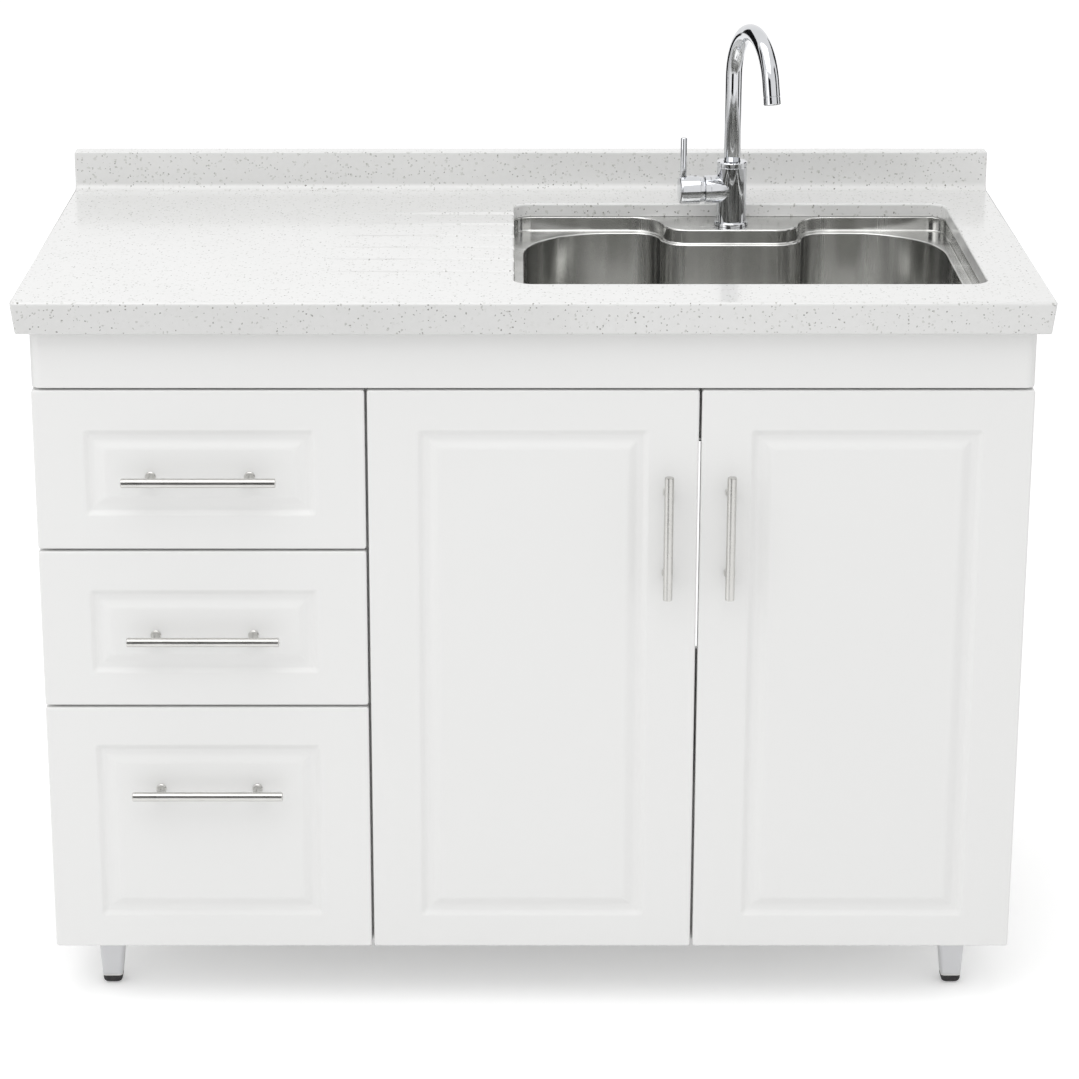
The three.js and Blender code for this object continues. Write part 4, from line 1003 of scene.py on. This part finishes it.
tap_body = on_tap(turned(BODY, steps=96), 0)
housing = out_of_side(turned(HOUSING, steps=96))
stem_bore = out_of_side(turned([(0, 20.5), (10, 20.5), (10, 37), (0, 37)], steps=48))
tap_body = worked(worked(tap_body, [housing], "UNION"), [stem_bore])
add_piece("tap_body", tap_body, "unit", chrome, ["faucet_body"], sharp=30, even=True)

stem = out_of_side(turned(STEM, steps=64))
add_piece("lever_ball", stem, "lever_stem", chrome, ["cartridge_stem"], sharp=50)

cap = out_of_side(turned(CAP, steps=96))
pin_hole = turned([(0, 11), (4.4, 11), (4.4, 20), (0, 20)], (PIN_ALONG, 0, CARTRIDGE_HEIGHT * MM), 32)
grub_hole = turned([(0, 15.5), (1.8, 15.5), (1.8, 20), (0, 20)], (-47 * MM, 0, CARTRIDGE_HEIGHT * MM), 20)
cap = worked(cap, [on_tap(pin_hole, CARTRIDGE_TURN), on_tap(grub_hole, CARTRIDGE_TURN)])
add_piece("lever_cup", cap, "lever", chrome, ["lever_cap"], sharp=30, even=True)

PIN = [(0, 11.3), (4, 11.3), (4, 18.6), (3.6, 18.9), (3.6, 19.4), (4, 19.7), (4, 67)]
PIN += [(3.6, 67.7), (3, 68), (0, 68)]
pin = turned(PIN, (PIN_ALONG, 0, CARTRIDGE_HEIGHT * MM), 40)
add_piece("lever_rod", on_tap(pin, CARTRIDGE_TURN), "lever", chrome, ["lever_pin"], sharp=40)


def along_spout(turn):
    """Reach and height of the tube's middle, that far round its arch."""
    return SPOUT_ARCH * (1 - math.cos(turn)), SPOUT_SPRING + SPOUT_ARCH * math.sin(turn)


def spout_shape():
    """The tube through round rings: up from the socket, over the arch and into the open end."""
    tube = 10.55
    foot = 52.8
    arch_steps = 60
    stations = [(0.0, foot, 0.0, tube - 0.5), (0.0, foot + 0.6, 0.0, tube), (0.0, SPOUT_SPRING, 0.0, tube)]
    for step in range(1, arch_steps + 1):
        turn = SPOUT_SWEEP * step / arch_steps
        stations.append((*along_spout(turn), turn, tube))
    end, top = stations[-1][:2]
    lengths = ((17.4, tube), (17.8, tube - 0.35), (18.4, tube - 0.35), (18.8, tube), (27.2, tube))
    lengths += ((28, tube - 0.8), (27.9, 9.0), (27.2, 8.5), (23.5, 8.5))
    for along, radius in lengths:
        reach = end + along * math.sin(SPOUT_SWEEP)
        height = top + along * math.cos(SPOUT_SWEEP)
        stations.append((reach, height, SPOUT_SWEEP, radius))
    rings = []
    for reach, height, turn, radius in stations:
        ring = []
        for side, lift in arc(0, 0, radius, 0, 360, 44)[:-1]:
            out = reach - lift * math.cos(turn)
            ring.append((side * MM, -out * MM, (height + lift * math.sin(turn)) * MM))
        rings.append(ring)
    return on_tap(lofted(rings), SPOUT_TURN)


def aerator_shape():
    """The plastic jet plate inside the spout's end, with ring ribs across its face."""
    plate = [(0, 0), (8.3, 0), (8.3, 3.4), (7.6, 3.4), (7.2, 2.6), (6.6, 2.6), (6.2, 3.1), (5.4, 3.1)]
    plate += [(5, 2.6), (4.2, 2.6), (3.8, 3.1), (3, 3.1), (2.6, 2.6), (1.6, 2.6), (1.2, 3.1), (0, 3.1)]
    shape = rotated(turned(plate, steps=44), SPOUT_SWEEP, "X")
    seat = 23.7
    end, top = along_spout(SPOUT_SWEEP)
    reach = end + seat * math.sin(SPOUT_SWEEP)
    height = top + seat * math.cos(SPOUT_SWEEP)
    return on_tap(moved(shape, (0, -reach * MM, height * MM)), SPOUT_TURN)


add_piece("spout_tube", spout_shape(), "spout", chrome, ["faucet_spout"], sharp=40)
add_piece("aerator", aerator_shape(), "spout", trap_plastic, sharp=40)
washer = turned([(16.9, -4.2), (23, -4.2), (23, -2.0), (16.9, -2.0)], TAP, 48)
add_piece("tap_washer", washer, "unit", foot_rubber)
back_nut = turned([(16.9, -13), (20, -13), (20, -7), (24, -6.6), (24, -4.4), (16.9, -4.4)], TAP, 6)
add_piece("tap_back_nut", back_nut, "unit", hinge_steel, sharp=25)


# ------------------------------------------------------------------ studio
# A white studio with no corners: a pale floor that keeps the unit's soft shadow, an even sky, a wide lamp
# above the front, and dark cards that only shiny metal sees, as a photographer sets up for chrome.


def card(name, size, place, turn):
    """A flat sheet of the studio, which is no part of the unit."""
    bpy.ops.mesh.primitive_plane_add(size=1, location=place, rotation=[math.radians(angle) for angle in turn])
    sheet = bpy.context.object
    sheet.name = name
    sheet.scale = (*size, 1)
    return sheet


paper = Finish("studio_floor", (0.90, 0.90, 0.90), 0.9, emission_strength=1.0)
paper.feed("Base Color", paper.mixed(paper.noise(3), (0.895, 0.895, 0.895), (0.905, 0.905, 0.905)))
seen = paper.node("ShaderNodeLightPath")
mirrored = paper.maths("MAXIMUM", seen.outputs["Is Glossy Ray"], seen.outputs["Is Transmission Ray"])
shown = paper.maths("MAXIMUM", seen.outputs["Is Camera Ray"], mirrored)
paper.feed("Emission Color", paper.mixed(shown, (0, 0, 0), (0.30, 0.30, 0.30)))
floor = card("floor", (40, 40), (0, 0, -0.0005), (0, 0, 0))
floor.data.materials.append(paper.material)

black_card = Finish("studio_card", (0.012, 0.012, 0.013), 0.95, specular_ior_level=0.0)
DARK_CARDS = {
    "front_card": ((1.1, 1.9), (-0.45, -1.9, 0.95), (90, 0, -18)),
    "left_card": ((0.7, 2.6), (-2.2, 0.3, 1.3), (90, 0, -86)),
    "right_card": ((0.8, 2.6), (2.5, -0.6, 1.3), (90, 0, 75)),
    "back_left_card": ((1.7, 2.6), (-1.9, 1.7, 1.3), (90, 0, 55)),
    "back_right_card": ((1.7, 2.6), (2.3, 1.7, 1.3), (90, 0, -55)),
}
for name, (size, place, turn) in DARK_CARDS.items():
    sheet = card(name, size, place, turn)
    sheet.data.materials.append(black_card.material)
    sheet.visible_camera = False
    sheet.visible_diffuse = False
    sheet.visible_shadow = False
    sheet.visible_transmission = False

LAMPS = {
    "overhead": (29, 2.6, (-0.5, -1.1, 3.0), (14, 0, -8)),
    "side": (5, 1.2, (-2.6, -2.2, 2.0), (62, 0, -48)),
}
for name, (power, size, place, turn) in LAMPS.items():
    lamp = bpy.data.objects.new(name, bpy.data.lights.new(name, "AREA"))
    lamp.data.energy = power
    lamp.data.size = size
    lamp.location = place
    lamp.rotation_euler = [math.radians(angle) for angle in turn]
    bpy.context.scene.collection.objects.link(lamp)

room = bpy.data.worlds.new("room")
bpy.context.scene.world = room
room.use_nodes = True
sky = room.node_tree
path = sky.nodes.new("ShaderNodeLightPath")
blend = sky.nodes.new("ShaderNodeMix")
blend.data_type = "RGBA"
blend.inputs[6].default_value = (0.83, 0.83, 0.83, 1.0)
blend.inputs[7].default_value = (1.0, 1.0, 1.0, 1.0)
white_for = path.outputs["Is Camera Ray"]
for ray in ("Is Glossy Ray", "Is Transmission Ray"):
    either = sky.nodes.new("ShaderNodeMath")
    either.operation = "MAXIMUM"
    sky.links.new(white_for, either.inputs[0])
    sky.links.new(path.outputs[ray], either.inputs[1])
    white_for = either.outputs[0]
sky.links.new(white_for, blend.inputs[0])
sky.links.new(blend.outputs[2], sky.nodes["Background"].inputs["Color"])

bpy.context.scene.view_settings.view_transform = "Standard"
camera = bpy.data.objects.new("camera", bpy.data.cameras.new("camera"))
bpy.context.scene.collection.objects.link(camera)
bpy.context.scene.camera = camera
focal_in_pixels = 3136
picture_in_pixels = 1079
look_down = 17
camera.data.lens = camera.data.sensor_width * focal_in_pixels / picture_in_pixels
camera.location = (-0.024, -3.76, 1.831)
camera.rotation_euler = (math.radians(90 - look_down), 0, 0)
camera.data.shift_x = 0.025
camera.data.shift_y = -0.12
